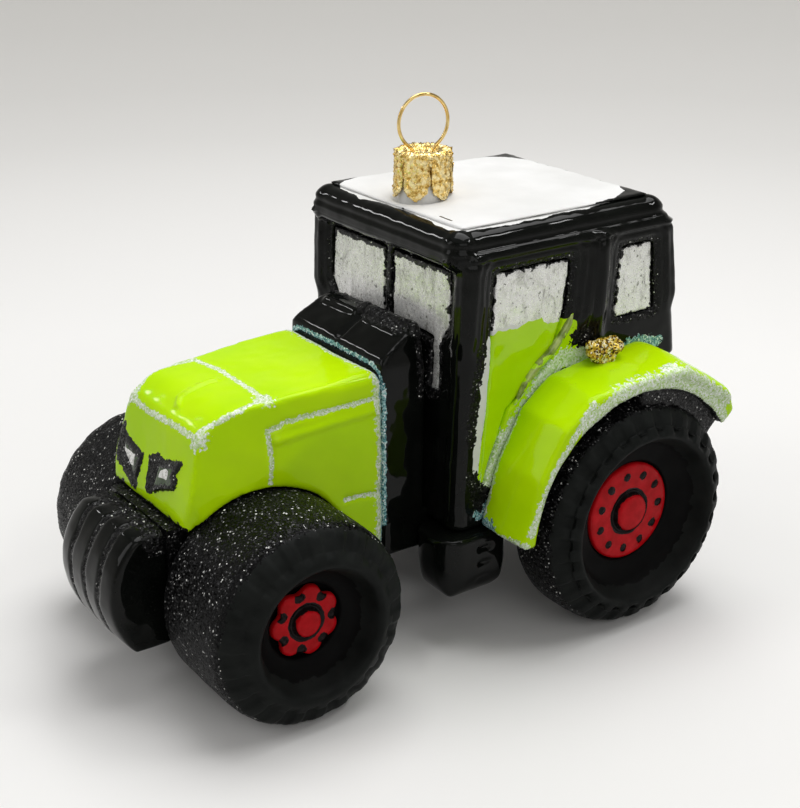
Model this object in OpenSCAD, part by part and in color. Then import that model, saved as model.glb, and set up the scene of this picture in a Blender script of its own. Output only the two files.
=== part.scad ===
// Blown-glass tree ornament in the shape of a farm tractor.
// Millimetres. The nose faces -Y, the tractor's left is +X, +Z is up.
// The origin is on the floor under the middle of the ornament.

/* [Lengths from nose to tail] */
// Front weights, ahead of the nose
weight_len = 11.5; // [8:0.1:15]
// Hood, from the foot of the nose to the cowl
hood_len = 36; // [32:0.1:42]
// Cowl, between hood and cab
cowl_len = 8.5; // [6:0.1:12]
// Cab, over the roof rim
cab_len = 46; // [43:0.1:50]
// Fender tail, behind the roof rim
tail_len = 6; // [4:0.1:9]
// Front axle, behind the foot of the nose
front_axle_back = 12.7; // [11:0.1:15]
// Rear axle, behind the front of the cab
rear_axle_back = 30.3; // [29:0.1:32]

/* [Wheels] */
// Diameter of the front tyres
front_tyre_d = 33.8; // [30:0.1:37]
// Width of a front tyre
front_tyre_w = 22; // [18:0.1:24]
// Gap between the chassis and a front tyre
front_gap = 0.3; // [0.2:0.05:0.6]
// Diameter of the rear tyres
rear_tyre_d = 40; // [37:0.1:42]
// Width of a rear tyre
rear_tyre_w = 13.6; // [11:0.1:14]
// Gap between the cab's side and a rear tyre
rear_gap = 1; // [0.6:0.1:1.6]
// Radius of the front rim's mouth
front_bowl_r = 10.2; // [9:0.1:11.5]
// Radius of the rear rim's mouth
rear_bowl_r = 14.2; // [13:0.1:15]
// Depth of a rim's bowl
bowl_depth = 5; // [4:0.1:6]
// Radius of a front hub
front_hub_r = 6.1; // [5.5:0.1:6.8]
// Radius of a rear hub
rear_hub_r = 8.8; // [8:0.1:9.6]
// Lug ends round each shoulder of a tyre
lug_count = 26; // [18:1:32]

/* [Body] */
// Width of the hood at its rear edge
hood_w = 30; // [27:0.1:33]
// Narrowing of the nose on each side
nose_taper = 1; // [0.5:0.1:1.6]
// Height of the hood at its rear edge
hood_top = 48.6; // [46:0.1:50]
// Height of the foot of the nose
nose_foot = 29.5; // [29:0.1:31]
// Drop of the nose's top edge below the hood's rear edge
nose_drop = 4.7; // [3.5:0.1:6]
// Slope of the nose, from its foot back to its top edge
nose_run = 3.9; // [2.5:0.1:5]
// Distance from the foot of the nose back to the hood's brow
brow_run = 8.2; // [7:0.1:10]
// Drop of the brow below the hood's rear edge
brow_drop = 1.8; // [1.2:0.1:2.6]
// Step in from the hood to the cowl on each side
cowl_step = 0.9; // [0.5:0.1:1.5]
// Height of the cowl where it meets the windscreen
cowl_top = 54; // [51:0.1:56]
// Height of the underside of the front weights
weight_foot = 9.6; // [8:0.1:11]
// Width of the chassis
chassis_w = 20; // [18:0.1:20.2]
// Height of the chassis underside
chassis_foot = 13; // [11.5:0.1:13.4]

/* [Cab] */
// Step out from the cowl to the cab's side on each side
cab_out = 8.3; // [7.4:0.1:9]
// Height of the top of the roof rim
roof_top = 70.8; // [67:0.1:74]
// Radius of the roof rim's roll
rim_r = 3.2; // [2.6:0.1:3.6]
// Radius of a corner post
post_r = 2.4; // [2:0.1:2.8]
// Thickness of a cab wall
wall = 2; // [1.6:0.1:2.4]
// How far the pillar behind a door stands out of the wall
pillar_out = 0.7; // [0.4:0.1:0.8]
// Thickness of a window pane
pane = 1; // [0.8:0.1:1.4]
// Thickness of the glass of the hood and tyres
glass = 1.3; // [1:0.1:1.6]
// Height of the cab's floor line above the step
cab_foot = 20.2; // [19:0.1:21]
// Reach of a step beyond the cab's side
step_out = 2.3; // [1.2:0.1:2.6]
// Height of the underside of the steps
step_foot = 9.3; // [8:0.1:11]
// Length of a step along the cab
step_len = 13.2; // [12:0.1:15]
// Depth of a step, from its outside in towards the chassis
step_deep = 10.4; // [9.5:0.1:12.5]

/* [Fenders] */
// Setback of a fender from its tyre's outer face
fender_in = 2.4; // [1.6:0.1:3.4]
// Gap between a rear tyre and its fender
fender_gap = 2.5; // [1.5:0.1:2.6]

/* [Cap and hanger] */
// Distance of the cap from the front of the roof rim
cap_back = 9.5; // [9.4:0.1:12]
// Outer radius of the cap at its top
cap_r = 4.85; // [4.6:0.05:5.4]
// Outer radius of the cap at its points
cap_foot_r = 5.2; // [5.0:0.05:5.8]
// Height of the cap
cap_h = 8.2; // [7:0.1:9]
// Sheet thickness of the cap
sheet = 0.35; // [0.3:0.05:0.45]
// Points round the cap's skirt
cap_points = 6; // [5:1:8]
// Radius of the glass neck under the cap
neck_r = 4.2; // [3.9:0.05:4.3]
// Wall of the glass neck
neck_wall = 0.9; // [0.7:0.05:1]
// Radius of the hole in the cap
cap_hole_r = 2.9; // [2.8:0.05:3.1]
// Radius of the hanger loop at the wire's middle
loop_r = 4.6; // [4.2:0.1:4.8]
// Radius of the hanger wire
wire_r = 0.3; // [0.25:0.01:0.34]
// Turn of the hanger loop from the lengthwise plane
loop_turn = -7; // [-90:1:90]

/* [Hidden] */
// Hairline between two paint zones of the one glass shell
seam = 0.1;
eps = 0.01;
$fn = 64;

length = weight_len + hood_len + cowl_len + cab_len + tail_len;
front_y = -length / 2;
nose_y = front_y + weight_len;
cowl_y = nose_y + hood_len;
cab_y = cowl_y + cowl_len;
cab_rear_y = cab_y + cab_len;
rear_y = length / 2;
front_axle_y = nose_y + front_axle_back;
rear_axle_y = cab_y + rear_axle_back;

nose_w = hood_w - 2 * nose_taper;
cowl_w = hood_w - 2 * cowl_step;
cab_w = cowl_w + 2 * cab_out;
cab_side = cab_w / 2;
weight_w = chassis_w - 4 * seam;
chassis_top = nose_foot - 3 * seam;

front_r = front_tyre_d / 2;
rear_r = rear_tyre_d / 2;
front_in = chassis_w / 2 + front_gap;
rear_in = cab_side + rear_gap;
front_track = 2 * (front_in + front_tyre_w);
rear_track = 2 * (rear_in + rear_tyre_w);
fender_w = rear_track - 2 * fender_in;
step_w = cab_w + 2 * step_out;
axle_front_r = 0.19 * front_r;
axle_rear_r = 0.2 * rear_r;
hub_t = 1.4;
rim_back = 0.6;
wall_back = 0.4;

rim_z = roof_top - rim_r;
rim_x = cab_side - rim_r - rim_back;
rim_front = cab_y + rim_r;
rim_rear = cab_rear_y - rim_r;
post_x = cab_side - post_r;
post_lean = 2;
rear_lean = 3.4;
fender_top = rear_r * 2.25;
waist = rear_tyre_d + 2;

panel_t = 3;
panel_top = roof_top + panel_t / 6;
cap_y = cab_y + cap_back;
cap_foot = panel_top + 0.3;
cap_top = cap_foot + cap_h;
neck_top = cap_top - sheet - seam;
neck_foot = panel_top - 1;
loop_gap = 30;
loop_z = cap_top + loop_r * cos(loop_gap) + 0.2;

lime = [0.62, 0.82, 0.02];
gloss_black = [0.04, 0.04, 0.045];
tyre_black = [0.09, 0.1, 0.1];
silver = [0.8, 0.82, 0.82];
hub_red = [0.75, 0.06, 0.09];
gold = [0.83, 0.65, 0.3];
white = [0.96, 0.96, 0.95];

// Draws the left-hand piece, or its mirror image on the right
module on_side(left) {
  if (left) children();
  else mirror([1, 0, 0]) children();
}

// A round bar between two points
module bar(a, b, r) {
  d = b - a;
  h = norm(d);
  translate(a)
    rotate([0, acos(d[2] / h), atan2(d[1], d[0])])
      cylinder(r = r, h = h);
}

// A slab between two X planes with its outline drawn in Y and Z
module side_slab(x0, x1) {
  translate([x0, 0, 0]) rotate([90, 0, 90]) linear_extrude(height = x1 - x0) children();
}

// Turns a solid of revolution so that its axis runs along +X at an axle
module on_axle(x, y, z) {
  translate([x, y, z]) rotate([0, 90, 0]) children();
}

// A slab between two Y planes with its outline drawn in X and Z
module front_slab(y0, y1) {
  translate([0, y1, 0]) rotate([90, 0, 0]) linear_extrude(height = y1 - y0) children();
}

function unit(v) = v / norm(v);

// Centre of the arc that rounds one corner of an outline
function arc_centre(p, i, r) =
  let (
    n = len(p),
    a = unit(p[(i + n - 1) % n] - p[i]),
    b = unit(p[(i + 1) % n] - p[i])
  )
  p[i] + unit(a + b) * r / sin(acos(a * b) / 2);

// Outward direction of the edge that follows a corner, for an anticlockwise outline
function edge_out(p, i) =
  let (
    n = len(p),
    d = unit(p[(i + 1) % n] - p[i % n])
  )
  [d[1], -d[0]];

// A convex anticlockwise outline with its own radius at each corner, drawn in by an inset
module rounded(p, radii, inset = 0) {
  n = len(p);
  c = [for (i = [0 : n - 1]) arc_centre(p, i, radii[i])];
  polygon([
    for (i = [0 : n - 1], k = [n - 1, n])
      c[i] + edge_out(p, i + k) * (radii[i] - inset)
  ]);
  for (i = [0 : n - 1]) translate(c[i]) circle(radii[i] - inset);
}

// All that lies beyond the plane through three points
module beyond(a, b, c) {
  n = unit(cross(b - a, c - a));
  translate(a) rotate([0, acos(n[2]), atan2(n[1], n[0])])
    translate([-100, -100, 0]) cube([200, 200, 100]);
}

// Wheels

shoulder = 2.6;
lip = 1.1;

// Half section of a tyre: radius along X, width along Y from the inner face
module tyre_section(r, w, bowl_r, hub_r, bore) {
  difference() {
    union() {
      square([r - shoulder, w - lip]);
      translate([0, shoulder]) square([r, w - 2 * shoulder - lip]);
      translate([r - shoulder, shoulder]) circle(shoulder);
      translate([r - shoulder, w - shoulder - lip]) circle(shoulder);
      translate([bowl_r + lip, w - lip]) circle(lip);
    }
    polygon([
      [-1, w + 1], [bowl_r + lip, w + 1], [bowl_r + lip, w], [bowl_r, w - lip],
      [hub_r + seam, w - bowl_depth], [hub_r + seam, w - bowl_depth - hub_t],
      [hub_r - 1, w - bowl_depth - hub_t], [hub_r - 1, w - bowl_depth - hub_t - glass],
      [bowl_r - 0.2, w - bowl_depth - hub_t], [bowl_r + glass, w - lip - glass],
      [r - shoulder, w - lip - glass], [r - glass, w - lip - shoulder],
      [r - glass, shoulder], [r - shoulder, glass], [bore + 1, glass], [bore, -1], [-1, -1]
    ]);
  }
}

// Shallow gaps between the lug ends, staggered on the two shoulders of a tyre
module lug_gaps(r, w) {
  depth = 0.5;
  gap = 0.38 * 2 * PI * r / lug_count;
  reach = 1.3 * shoulder;
  for (i = [0 : lug_count - 1]) {
    rotate(i * 360 / lug_count) translate([r - shoulder, 0, w - lip - shoulder]) rotate([0, -45, 0])
      translate([shoulder - depth, -gap / 2, -reach / 2]) cube([2, gap, reach]);
    rotate((i + 0.5) * 360 / lug_count) translate([r - shoulder, 0, shoulder]) rotate([0, 45, 0])
      translate([shoulder - depth, -gap / 2, -reach / 2]) cube([2, gap, reach]);
  }
}

module tyre(x_in, y, r, w, bowl_r, hub_r, bore) {
  on_axle(x_in, y, r) difference() {
    rotate_extrude() tyre_section(r, w, bowl_r, hub_r, bore);
    lug_gaps(r, w);
  }
}

module front_tyre(left) {
  color(tyre_black) on_side(left)
    tyre(front_in, front_axle_y, front_r, front_tyre_w, front_bowl_r, front_hub_r, axle_front_r + seam);
}

module rear_tyre(left) {
  color(tyre_black) on_side(left)
    tyre(rear_in, rear_axle_y, rear_r, rear_tyre_w, rear_bowl_r, rear_hub_r, axle_rear_r + seam);
}

// Hub: a flange with scallops in its edge, a ring of bolt heads and a raised middle cap
module hub(r, bolts, scallops) {
  cap_r = r * 0.42;
  scallop_r = r * 0.2;
  difference() {
    cylinder(r = r, h = hub_t);
    if (scallops > 0)
      for (i = [0 : scallops - 1])
        rotate((i + 0.5) * 360 / scallops) translate([r + scallop_r * 0.35, 0, -1])
          cylinder(r = scallop_r, h = hub_t + 2, $fn = 24);
  }
  cylinder(r = cap_r, h = hub_t + 1);
  for (i = [0 : bolts - 1])
    rotate(i * 360 / bolts)
      translate([r * 0.74, 0, 0]) cylinder(r = r * 0.1, h = hub_t + 0.5, $fn = 24);
}

module front_hub(left) {
  color(hub_red) on_side(left)
    on_axle(front_track / 2 - bowl_depth - hub_t, front_axle_y, front_r) hub(front_hub_r, 7, 7);
}

module rear_hub(left) {
  color(hub_red) on_side(left)
    on_axle(rear_track / 2 - bowl_depth - hub_t, rear_axle_y, rear_r) hub(rear_hub_r, 11, 0);
}

module front_axle() {
  half = front_track / 2 - bowl_depth - hub_t - seam;
  color(gloss_black) on_axle(-half, front_axle_y, front_r) cylinder(r = axle_front_r, h = 2 * half);
}

module rear_axle() {
  half = rear_track / 2 - bowl_depth - hub_t - seam;
  color(gloss_black) on_axle(-half, rear_axle_y, rear_r) cylinder(r = axle_rear_r, h = 2 * half);
}

// Room for the front tyres under the hood
module front_tyre_room() {
  for (left = [true, false])
    on_side(left) on_axle(front_in - seam, front_axle_y, front_r)
      cylinder(r = front_r + seam, h = front_tyre_w + 2 * seam);
}

// Room for the chassis under hood and cowl
module chassis_room() {
  translate([-chassis_w / 2 - seam, front_y, 0])
    cube([chassis_w + 2 * seam, length, chassis_top + seam]);
}

// Hood, lamps and weights

nose_rise = hood_top - nose_drop - nose_foot;
hood_rear = cowl_y - seam;
hood_foot = front_r + seam;

// Solid form of the hood, drawn in by an inset: side, plan and front outlines meet in it
module hood_form(inset) {
  crease_x = hood_w / 2 - 1.2;
  difference() {
    intersection() {
      side_slab(-hood_w, hood_w)
        rounded([
          [nose_y, nose_foot], [hood_rear, hood_foot], [hood_rear, hood_top],
          [nose_y + brow_run, hood_top - brow_drop], [nose_y + nose_run, nose_foot + nose_rise]
        ], [1.6, 1.6, 2, 8, 4], inset);
      linear_extrude(height = 100)
        rounded([
          [-nose_w / 2, nose_y], [nose_w / 2, nose_y], [hood_w / 2, hood_rear], [-hood_w / 2, hood_rear]
        ], [4, 4, 1.6, 1.6], inset);
      front_slab(nose_y - 1, hood_rear + 1)
        rounded([
          [-hood_w / 2, hood_foot], [hood_w / 2, hood_foot], [hood_w / 2, nose_foot + 8], [crease_x, hood_top],
          [-crease_x, hood_top], [-hood_w / 2, nose_foot + 8]
        ], [1.6, 1.6, 6, 2.6, 2.6, 6], inset);
    }
    for (left = [true, false]) on_side(left)
      translate([-inset, 0, 0])
        beyond([nose_w / 2, nose_y, nose_foot], [crease_x + 0.2, hood_rear - 6, hood_top - 1],
          [nose_w / 2 - 2.2, nose_y + nose_run, nose_foot + nose_rise]);
  }
}

module hood() {
  color(lime) difference() {
    hood_form(0);
    hood_form(glass);
    front_tyre_room();
    chassis_room();
  }
}

// Two lamp patches lying on the sloped front of the nose
module headlamps() {
  slope = atan2(nose_run, nose_rise);
  k = nose_w / 28;
  color(gloss_black) for (left = [true, false])
    on_side(left)
      translate([0, nose_y - seam / 2, nose_foot]) rotate([90 - slope, 0, 0])
        linear_extrude(height = 0.7)
          polygon(k * [[1.4, 1.4], [9.4, 5.8], [9.8, 11.6], [3, 9.6]]);
}

// Weights: four slabs side by side on a core, with a bulged front
module weight_outline(inset) {
  h = nose_foot - seam - weight_foot;
  radius = 0.7 * h;
  intersection() {
    translate([front_y + inset, weight_foot + inset]) square([weight_len - 1.4 - inset, h - 2 * inset]);
    translate([front_y + radius, weight_foot + 0.47 * h]) circle(radius - inset);
  }
}

module front_weights() {
  slabs = 4;
  gap = 0.7;
  pitch = (weight_w + gap) / slabs;
  color(gloss_black) {
    side_slab(-weight_w / 2 + 0.5, weight_w / 2 - 0.5) weight_outline(0.6);
    for (i = [0 : slabs - 1])
      side_slab(-weight_w / 2 + i * pitch, -weight_w / 2 + (i + 1) * pitch - gap) difference() {
        weight_outline(0);
        for (k = [1, 2]) translate([front_y + 2 + 2.6 * k, nose_foot - seam]) circle(gap / 2, $fn = 24);
      }
  }
}

module cowl() {
  rear = cab_y - seam;
  half = cowl_w / 2;
  color(gloss_black) difference() {
    intersection() {
      side_slab(-cowl_w, cowl_w)
        rounded([
          [cowl_y, cab_foot], [rear, cab_foot], [rear, cowl_top], [rear - 1.6, cowl_top], [cowl_y, hood_top + 1.4]
        ], [1, 1, 0.4, 0.8, 1.6]);
      front_slab(cowl_y - 1, rear + 1)
        rounded([
          [-half, cab_foot], [half, cab_foot], [half, hood_top], [half - 1.2, cowl_top],
          [-half + 1.2, cowl_top], [-half, hood_top]
        ], [1, 1, 4, 2, 2, 4]);
    }
    chassis_room();
  }
}

module chassis() {
  color(gloss_black) difference() {
    translate([-chassis_w / 2, nose_y - 1.3, chassis_foot])
      cube([chassis_w, cab_y - nose_y + 1.3, chassis_top - chassis_foot]);
    on_axle(-chassis_w, front_axle_y, front_r) cylinder(r = axle_front_r + seam, h = 2 * chassis_w);
  }
}

// Cab

// Lower body between the rear wheels, an open-topped glass tub
module tub_outline(inset) {
  y0 = cab_y + wall + 1.8;
  y1 = cab_rear_y + rear_lean - 0.6;
  foot = 0.7 * rear_r + inset;
  polygon([
    [y0 + inset, waist], [y0 + inset, cab_foot + inset], [y0 + 0.5 * rear_r, cab_foot + inset],
    [y0 + 0.6 * rear_r, foot], [y1 - 0.4 * rear_r, foot], [y1 - inset, 1.2 * rear_r], [y1 - inset, waist]
  ]);
}

module cab_tub() {
  half = cab_side - wall - seam;
  color(gloss_black) difference() {
    side_slab(-half, half) tub_outline(0);
    translate([0, 0, eps]) side_slab(-half + glass, half - glass) tub_outline(glass);
    on_axle(-half - 1, rear_axle_y, rear_r) cylinder(r = axle_rear_r + seam, h = 2 * half + 2);
    for (left = [true, false]) on_side(left) front_post_bar(seam);
  }
}

// Corner posts of the cab, widened by a margin where they are cut from a wall
module front_post_bar(margin) {
  bar([post_x, cab_y + post_r + post_lean, rim_z], [post_x, cab_y + post_r, cab_foot], post_r + margin);
}

module rear_post_bar(margin) {
  bar([post_x, cab_rear_y - post_r, rim_z], [post_x, cab_rear_y - post_r + rear_lean, waist], post_r + margin);
}

module front_post(left) {
  color(gloss_black) on_side(left) difference() {
    front_post_bar(0);
    roof_tubes(seam);
    cab_under();
  }
}

module rear_post(left) {
  color(gloss_black) on_side(left) difference() {
    rear_post_bar(0);
    roof_tubes(seam);
    cab_below_waist();
  }
}

// Everything below the cab's floor line
module cab_under() {
  translate([0, 0, cab_foot - 10]) cube([100, 200, 20], center = true);
}

// Everything below the top of the tub
module cab_below_waist() {
  translate([0, 0, waist + seam - 10]) cube([100, 200, 20], center = true);
}

// Roof rim: a round-ended roll across the front and the rear, and one along each side
module rim_across(y, margin) {
  r = rim_r + margin;
  bar([-rim_x, y, rim_z], [rim_x, y, rim_z], r);
  for (side = [-1, 1]) translate([side * rim_x, y, rim_z]) rotate([0, 90, 0]) sphere(r = r * 1.04);
}

module rim_along(margin) {
  bar([rim_x, rim_front, rim_z], [rim_x, rim_rear, rim_z], rim_r + margin);
}

module roof_tubes(margin) {
  rim_across(rim_front, margin);
  rim_across(rim_rear, margin);
  for (left = [true, false]) on_side(left) rim_along(margin);
}

module roof_rim_end(y) {
  color(gloss_black) rim_across(y, 0);
}

module roof_rim_side(left) {
  color(gloss_black) on_side(left) difference() {
    rim_along(0);
    rim_across(rim_front, seam);
    rim_across(rim_rear, seam);
  }
}

module roof_panel() {
  margin = 1.3 * panel_t;
  color(white) difference() {
    translate([0, (cab_y + cab_rear_y) / 2, panel_top - panel_t])
      linear_extrude(height = panel_t)
        square([cab_w - 2 * margin, cab_len - 2 * margin], center = true);
    roof_tubes(seam);
    translate([0, cap_y, neck_foot]) cylinder(r = neck_r + seam, h = 2 * panel_t);
    translate([0, cap_y, panel_top - 2 * panel_t]) cylinder(r = neck_r - neck_wall, h = 4 * panel_t);
  }
}

module neck() {
  h = neck_top - neck_foot;
  color(silver) translate([0, cap_y, neck_foot]) difference() {
    cylinder(r = neck_r, h = h);
    translate([0, 0, -1]) cylinder(r = neck_r - neck_wall, h = h + 2);
  }
}

// Front wall with two panes that reach down beside the cowl
module windscreen_outline(grow) {
  bar_x = post_r / 2 - grow;
  half = post_x - post_r - rim_back + grow;
  top = rim_z - rim_r - rim_back + grow;
  foot = cowl_top - wall - grow;
  strip_in = cowl_w / 2 - pane - grow;
  strip_out = cowl_w / 2 + post_r / 2 + grow;
  strip_foot = hood_top - 2.8 * wall - grow;
  for (s = [-1, 1]) scale([s, 1])
    polygon([
      [bar_x, top], [half, top], [half, cowl_top + pane / 2], [strip_out, cowl_top - 0.8 * wall],
      [strip_out, strip_foot], [strip_in, strip_foot], [strip_in, foot], [bar_x, foot]
    ]);
}

module in_front_wall(t, back) {
  lean = atan2(post_lean, rim_z - cab_foot);
  translate([0, cab_y + back + t, cab_foot]) rotate([90 - lean, 0, 0]) translate([0, -cab_foot, 0])
    linear_extrude(height = t) children();
}

module cab_front_frame() {
  color(gloss_black) difference() {
    in_front_wall(wall, wall_back) difference() {
      translate([-post_x, cab_foot]) square([2 * post_x, rim_z - cab_foot]);
      windscreen_outline(0);
    }
    for (left = [true, false]) on_side(left) front_post_bar(seam);
    roof_tubes(seam);
    cab_under();
  }
}

module windscreen() {
  color(silver) in_front_wall(pane, wall_back + (wall - pane) / 2) windscreen_outline(-seam);
}

// Outline of a side wall, its door opening and its quarter window
module side_outline() {
  polygon([
    [cab_y + post_r, cab_foot], [cab_y + post_r + post_lean, rim_z], [cab_rear_y - post_r, rim_z],
    [cab_rear_y - post_r + rear_lean, waist + seam], [rear_axle_y - 0.525 * rear_r, waist + seam],
    [rear_axle_y - 0.915 * rear_r, cab_foot + 0.35 * rear_r], [rear_axle_y - 1.115 * rear_r, cab_foot]
  ]);
}

upper_h = rim_z - waist;
door_top = rim_z - rim_r - 0.8;
door_front = cab_y + 3.35 * post_r;
door_rear = rear_axle_y - 0.355 * rear_r;
quarter_rear = cab_rear_y - 2 * post_r;
quarter_front = quarter_rear - 0.16 * cab_len;
door_tip = [cab_y + 2.25 * post_r, cab_foot + 2.2 * post_r];
sill = waist + 0.37 * upper_h;
door_sill = waist + 0.47 * upper_h;

module door_opening() {
  polygon([
    [door_front, door_top], [door_rear, door_top], [door_rear - 0.04 * rear_r, door_top - 0.33 * upper_h],
    [rear_axle_y - 0.525 * rear_r, waist + 0.18 * upper_h], [rear_axle_y - 0.975 * rear_r, waist - 0.08 * upper_h],
    door_tip
  ]);
}

module quarter_opening() {
  polygon([
    [quarter_front + 0.02 * cab_len, door_top], [quarter_rear + 0.12 * rear_lean, door_top],
    [quarter_rear + 0.4 * rear_lean, sill], [quarter_front, sill]
  ]);
}

module in_side_wall(t, back) {
  side_slab(cab_side - back - t, cab_side - back) children();
}

// Round pillar between door and quarter window, half sunk in the wall, from the fender up to the roof rim
module door_pillar() {
  x = cab_side - wall + pillar_out;
  y = door_rear + 0.6 * (quarter_front - door_rear);
  bar([x, y, rim_z], [x, y, fender_top + 2 * seam], wall);
}

module cab_side(left) {
  color(gloss_black) on_side(left) difference() {
    union() {
      in_side_wall(wall, 0) side_outline();
      door_pillar();
    }
    side_slab(cab_side - 2 * wall, cab_side + wall) {
      door_opening();
      quarter_opening();
    }
    front_post_bar(seam);
    rear_post_bar(seam);
    roof_tubes(seam);
    cab_under();
  }
}

module above_sill(sign) {
  translate([cab_y, door_sill + (sign > 0 ? seam / 2 : -100 - seam / 2)]) square([cab_len, 100]);
}

module door_window(left) {
  color(silver) on_side(left)
    in_side_wall(pane, (wall - pane) / 2) intersection() {
      door_opening();
      above_sill(1);
    }
}

module door_panel(left) {
  color(lime) on_side(left)
    in_side_wall(pane, (wall - pane) / 2) intersection() {
      door_opening();
      above_sill(-1);
    }
}

module quarter_window(left) {
  color(silver) on_side(left) in_side_wall(pane, (wall - pane) / 2) quarter_opening();
}

module in_rear_wall(t, back) {
  lean = atan2(rear_lean, rim_z - waist);
  translate([0, cab_rear_y + rear_lean - back, waist]) rotate([90 + lean, 0, 0])
    linear_extrude(height = t) children();
}

module rear_opening(grow) {
  half = post_x - post_r - 1.6 + grow;
  translate([-half, sill - waist - grow]) square([2 * half, door_top - sill + 2 * grow]);
}

module cab_rear_frame() {
  color(gloss_black) difference() {
    in_rear_wall(wall, wall_back) difference() {
      translate([-post_x, seam]) square([2 * post_x, rim_z - waist]);
      rear_opening(0);
    }
    for (left = [true, false]) on_side(left) rear_post_bar(seam);
    roof_tubes(seam);
    cab_below_waist();
  }
}

module rear_window() {
  color(silver) in_rear_wall(pane, wall_back + (wall - pane) / 2) rear_opening(-seam);
}

// Steps, fenders and their lamps

// A boot with round corners under the front of the door, ribbed on the rear half of its outside
module step(left) {
  r = 3.6;
  x1 = step_w / 2;
  x0 = x1 - step_deep;
  y1 = rear_axle_y - rear_r - 3 * seam;
  y0 = y1 - step_len;
  z1 = cab_foot - seam;
  grooves = 3;
  groove_h = 0.8;
  groove_depth = 0.6;
  pitch = (z1 - step_foot) / (grooves + 1);
  color(gloss_black) on_side(left) difference() {
    intersection() {
      side_slab(x0, x1)
        rounded([[y0, step_foot], [y1, step_foot], [y1, z1], [y0, z1]], [r, r, 1, 1]);
      linear_extrude(height = 100)
        rounded([[x0, y0], [x1, y0], [x1, y1], [x0, y1]], [r, r, 2, r]);
      front_slab(y0 - 1, y1 + 1)
        rounded([[x0, step_foot], [x1, step_foot], [x1, z1], [x0, z1]], [r, r, 1, 1]);
    }
    for (i = [1 : grooves])
      translate([x1 - groove_depth, (y0 + y1) / 2, step_foot + i * pitch - groove_h / 2])
        cube([2, y1 - r - (y0 + y1) / 2, groove_h]);
  }
}

// Fender outline as an arch round the rear tyre, with points in shares of the tyre's radius
module fender_outline() {
  k = rear_r / 20;
  tail_reach = rear_y - rear_axle_y;
  translate([rear_axle_y, rear_r]) difference() {
    polygon([
      [-25.4 * k, 0.8], [-22 * k, 12 * k], [-17.2 * k, 19.6 * k], [-11.2 * k, 23.8 * k],
      [-2 * k, fender_top - rear_r], [2 * k, fender_top - rear_r], [8 * k, 24.2 * k], [15.4 * k, 19.8 * k],
      [tail_reach - 0.8, 16 * k], [tail_reach, 14.6 * k], [tail_reach - 1.7, 13 * k], [0, 0.8]
    ]);
    circle(rear_r + fender_gap);
  }
}

module fender(left) {
  color(lime) on_side(left) side_slab(cab_side + seam, fender_w / 2) fender_outline();
}

module fender_lamp(left) {
  r = 2;
  z = fender_top + 2.9;
  color(gold) on_side(left) difference() {
    union() {
      bar([cab_side + 3, rear_axle_y - 3.6, z], [cab_side + 3, rear_axle_y, z], r);
      translate([cab_side + 3, rear_axle_y - 3.6, z]) sphere(r * 1.04);
      translate([cab_side + 3, rear_axle_y, z]) sphere(r * 1.04);
      translate([cab_side + 3, rear_axle_y - 1.8, fender_top + seam]) cylinder(r = 1.5, h = 2);
    }
    translate([0, 0, fender_top - 10 + seam]) cube([100, 200, 20], center = true);
  }
}

// Cap and hanger

module cap() {
  slit = 0.5;
  slit_top = cap_h * 0.62;
  notch = cap_h * 0.3;
  half = PI * cap_foot_r / cap_points;
  color(gold) translate([0, cap_y, cap_foot]) difference() {
    rotate_extrude()
      polygon([
        [cap_hole_r, cap_h - sheet], [cap_r - sheet, cap_h - sheet], [cap_foot_r - sheet, 0],
        [cap_foot_r, 0], [cap_r, cap_h - 0.4], [cap_r - 0.4, cap_h], [cap_hole_r, cap_h]
      ]);
    for (i = [0 : cap_points - 1])
      rotate([90, 0, i * 360 / cap_points])
        linear_extrude(height = 2 * cap_foot_r) {
          translate([-slit / 2, -1]) square([slit, slit_top + 1]);
          polygon([[-half, -eps], [half, -eps], [0, notch]]);
        }
  }
}

module hanger() {
  s = loop_r * sin(loop_gap);
  z = loop_z - loop_r * cos(loop_gap);
  pinch = s - 0.4;
  spread = s + 0.2;
  pinch_z = cap_top - 1;
  foot_z = cap_foot + 0.6;
  joint = wire_r * 1.05;
  color(gold) translate([0, cap_y, 0]) rotate(loop_turn) {
    translate([0, 0, loop_z]) rotate([0, 90, 0])
      rotate(loop_gap) rotate_extrude(angle = 360 - 2 * loop_gap) translate([loop_r, 0]) circle(wire_r);
    for (side = [-1, 1]) {
      bar([0, side * s, z], [0, side * pinch, pinch_z], wire_r);
      bar([0, side * pinch, pinch_z], [0, side * spread, foot_z], wire_r);
      translate([0, side * s, z]) sphere(joint);
      translate([0, side * pinch, pinch_z]) sphere(joint);
      translate([0, side * spread, foot_z]) sphere(joint);
    }
  }
}

hood();
headlamps();
front_weights();
cowl();
chassis();
front_axle();
rear_axle();
cab_tub();
cab_front_frame();
cab_side(true);  // cab_side_left
cab_side(false);  // cab_side_right
cab_rear_frame();
front_post(true);  // front_post_left
front_post(false);  // front_post_right
rear_post(true);  // rear_post_left
rear_post(false);  // rear_post_right
roof_rim_end(rim_front);  // roof_rim_front
roof_rim_end(rim_rear);  // roof_rim_rear
roof_rim_side(true);  // roof_rim_left
roof_rim_side(false);  // roof_rim_right
roof_panel();
neck();
windscreen();
door_window(true);  // door_window_left
door_window(false);  // door_window_right
door_panel(true);  // door_panel_left
door_panel(false);  // door_panel_right
quarter_window(true);  // quarter_window_left
quarter_window(false);  // quarter_window_right
rear_window();
fender(true);  // fender_left
fender(false);  // fender_right
fender_lamp(true);  // fender_lamp_left
fender_lamp(false);  // fender_lamp_right
step(true);  // step_left
step(false);  // step_right
front_tyre(true);  // front_tyre_left
front_tyre(false);  // front_tyre_right
rear_tyre(true);  // rear_tyre_left
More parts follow.
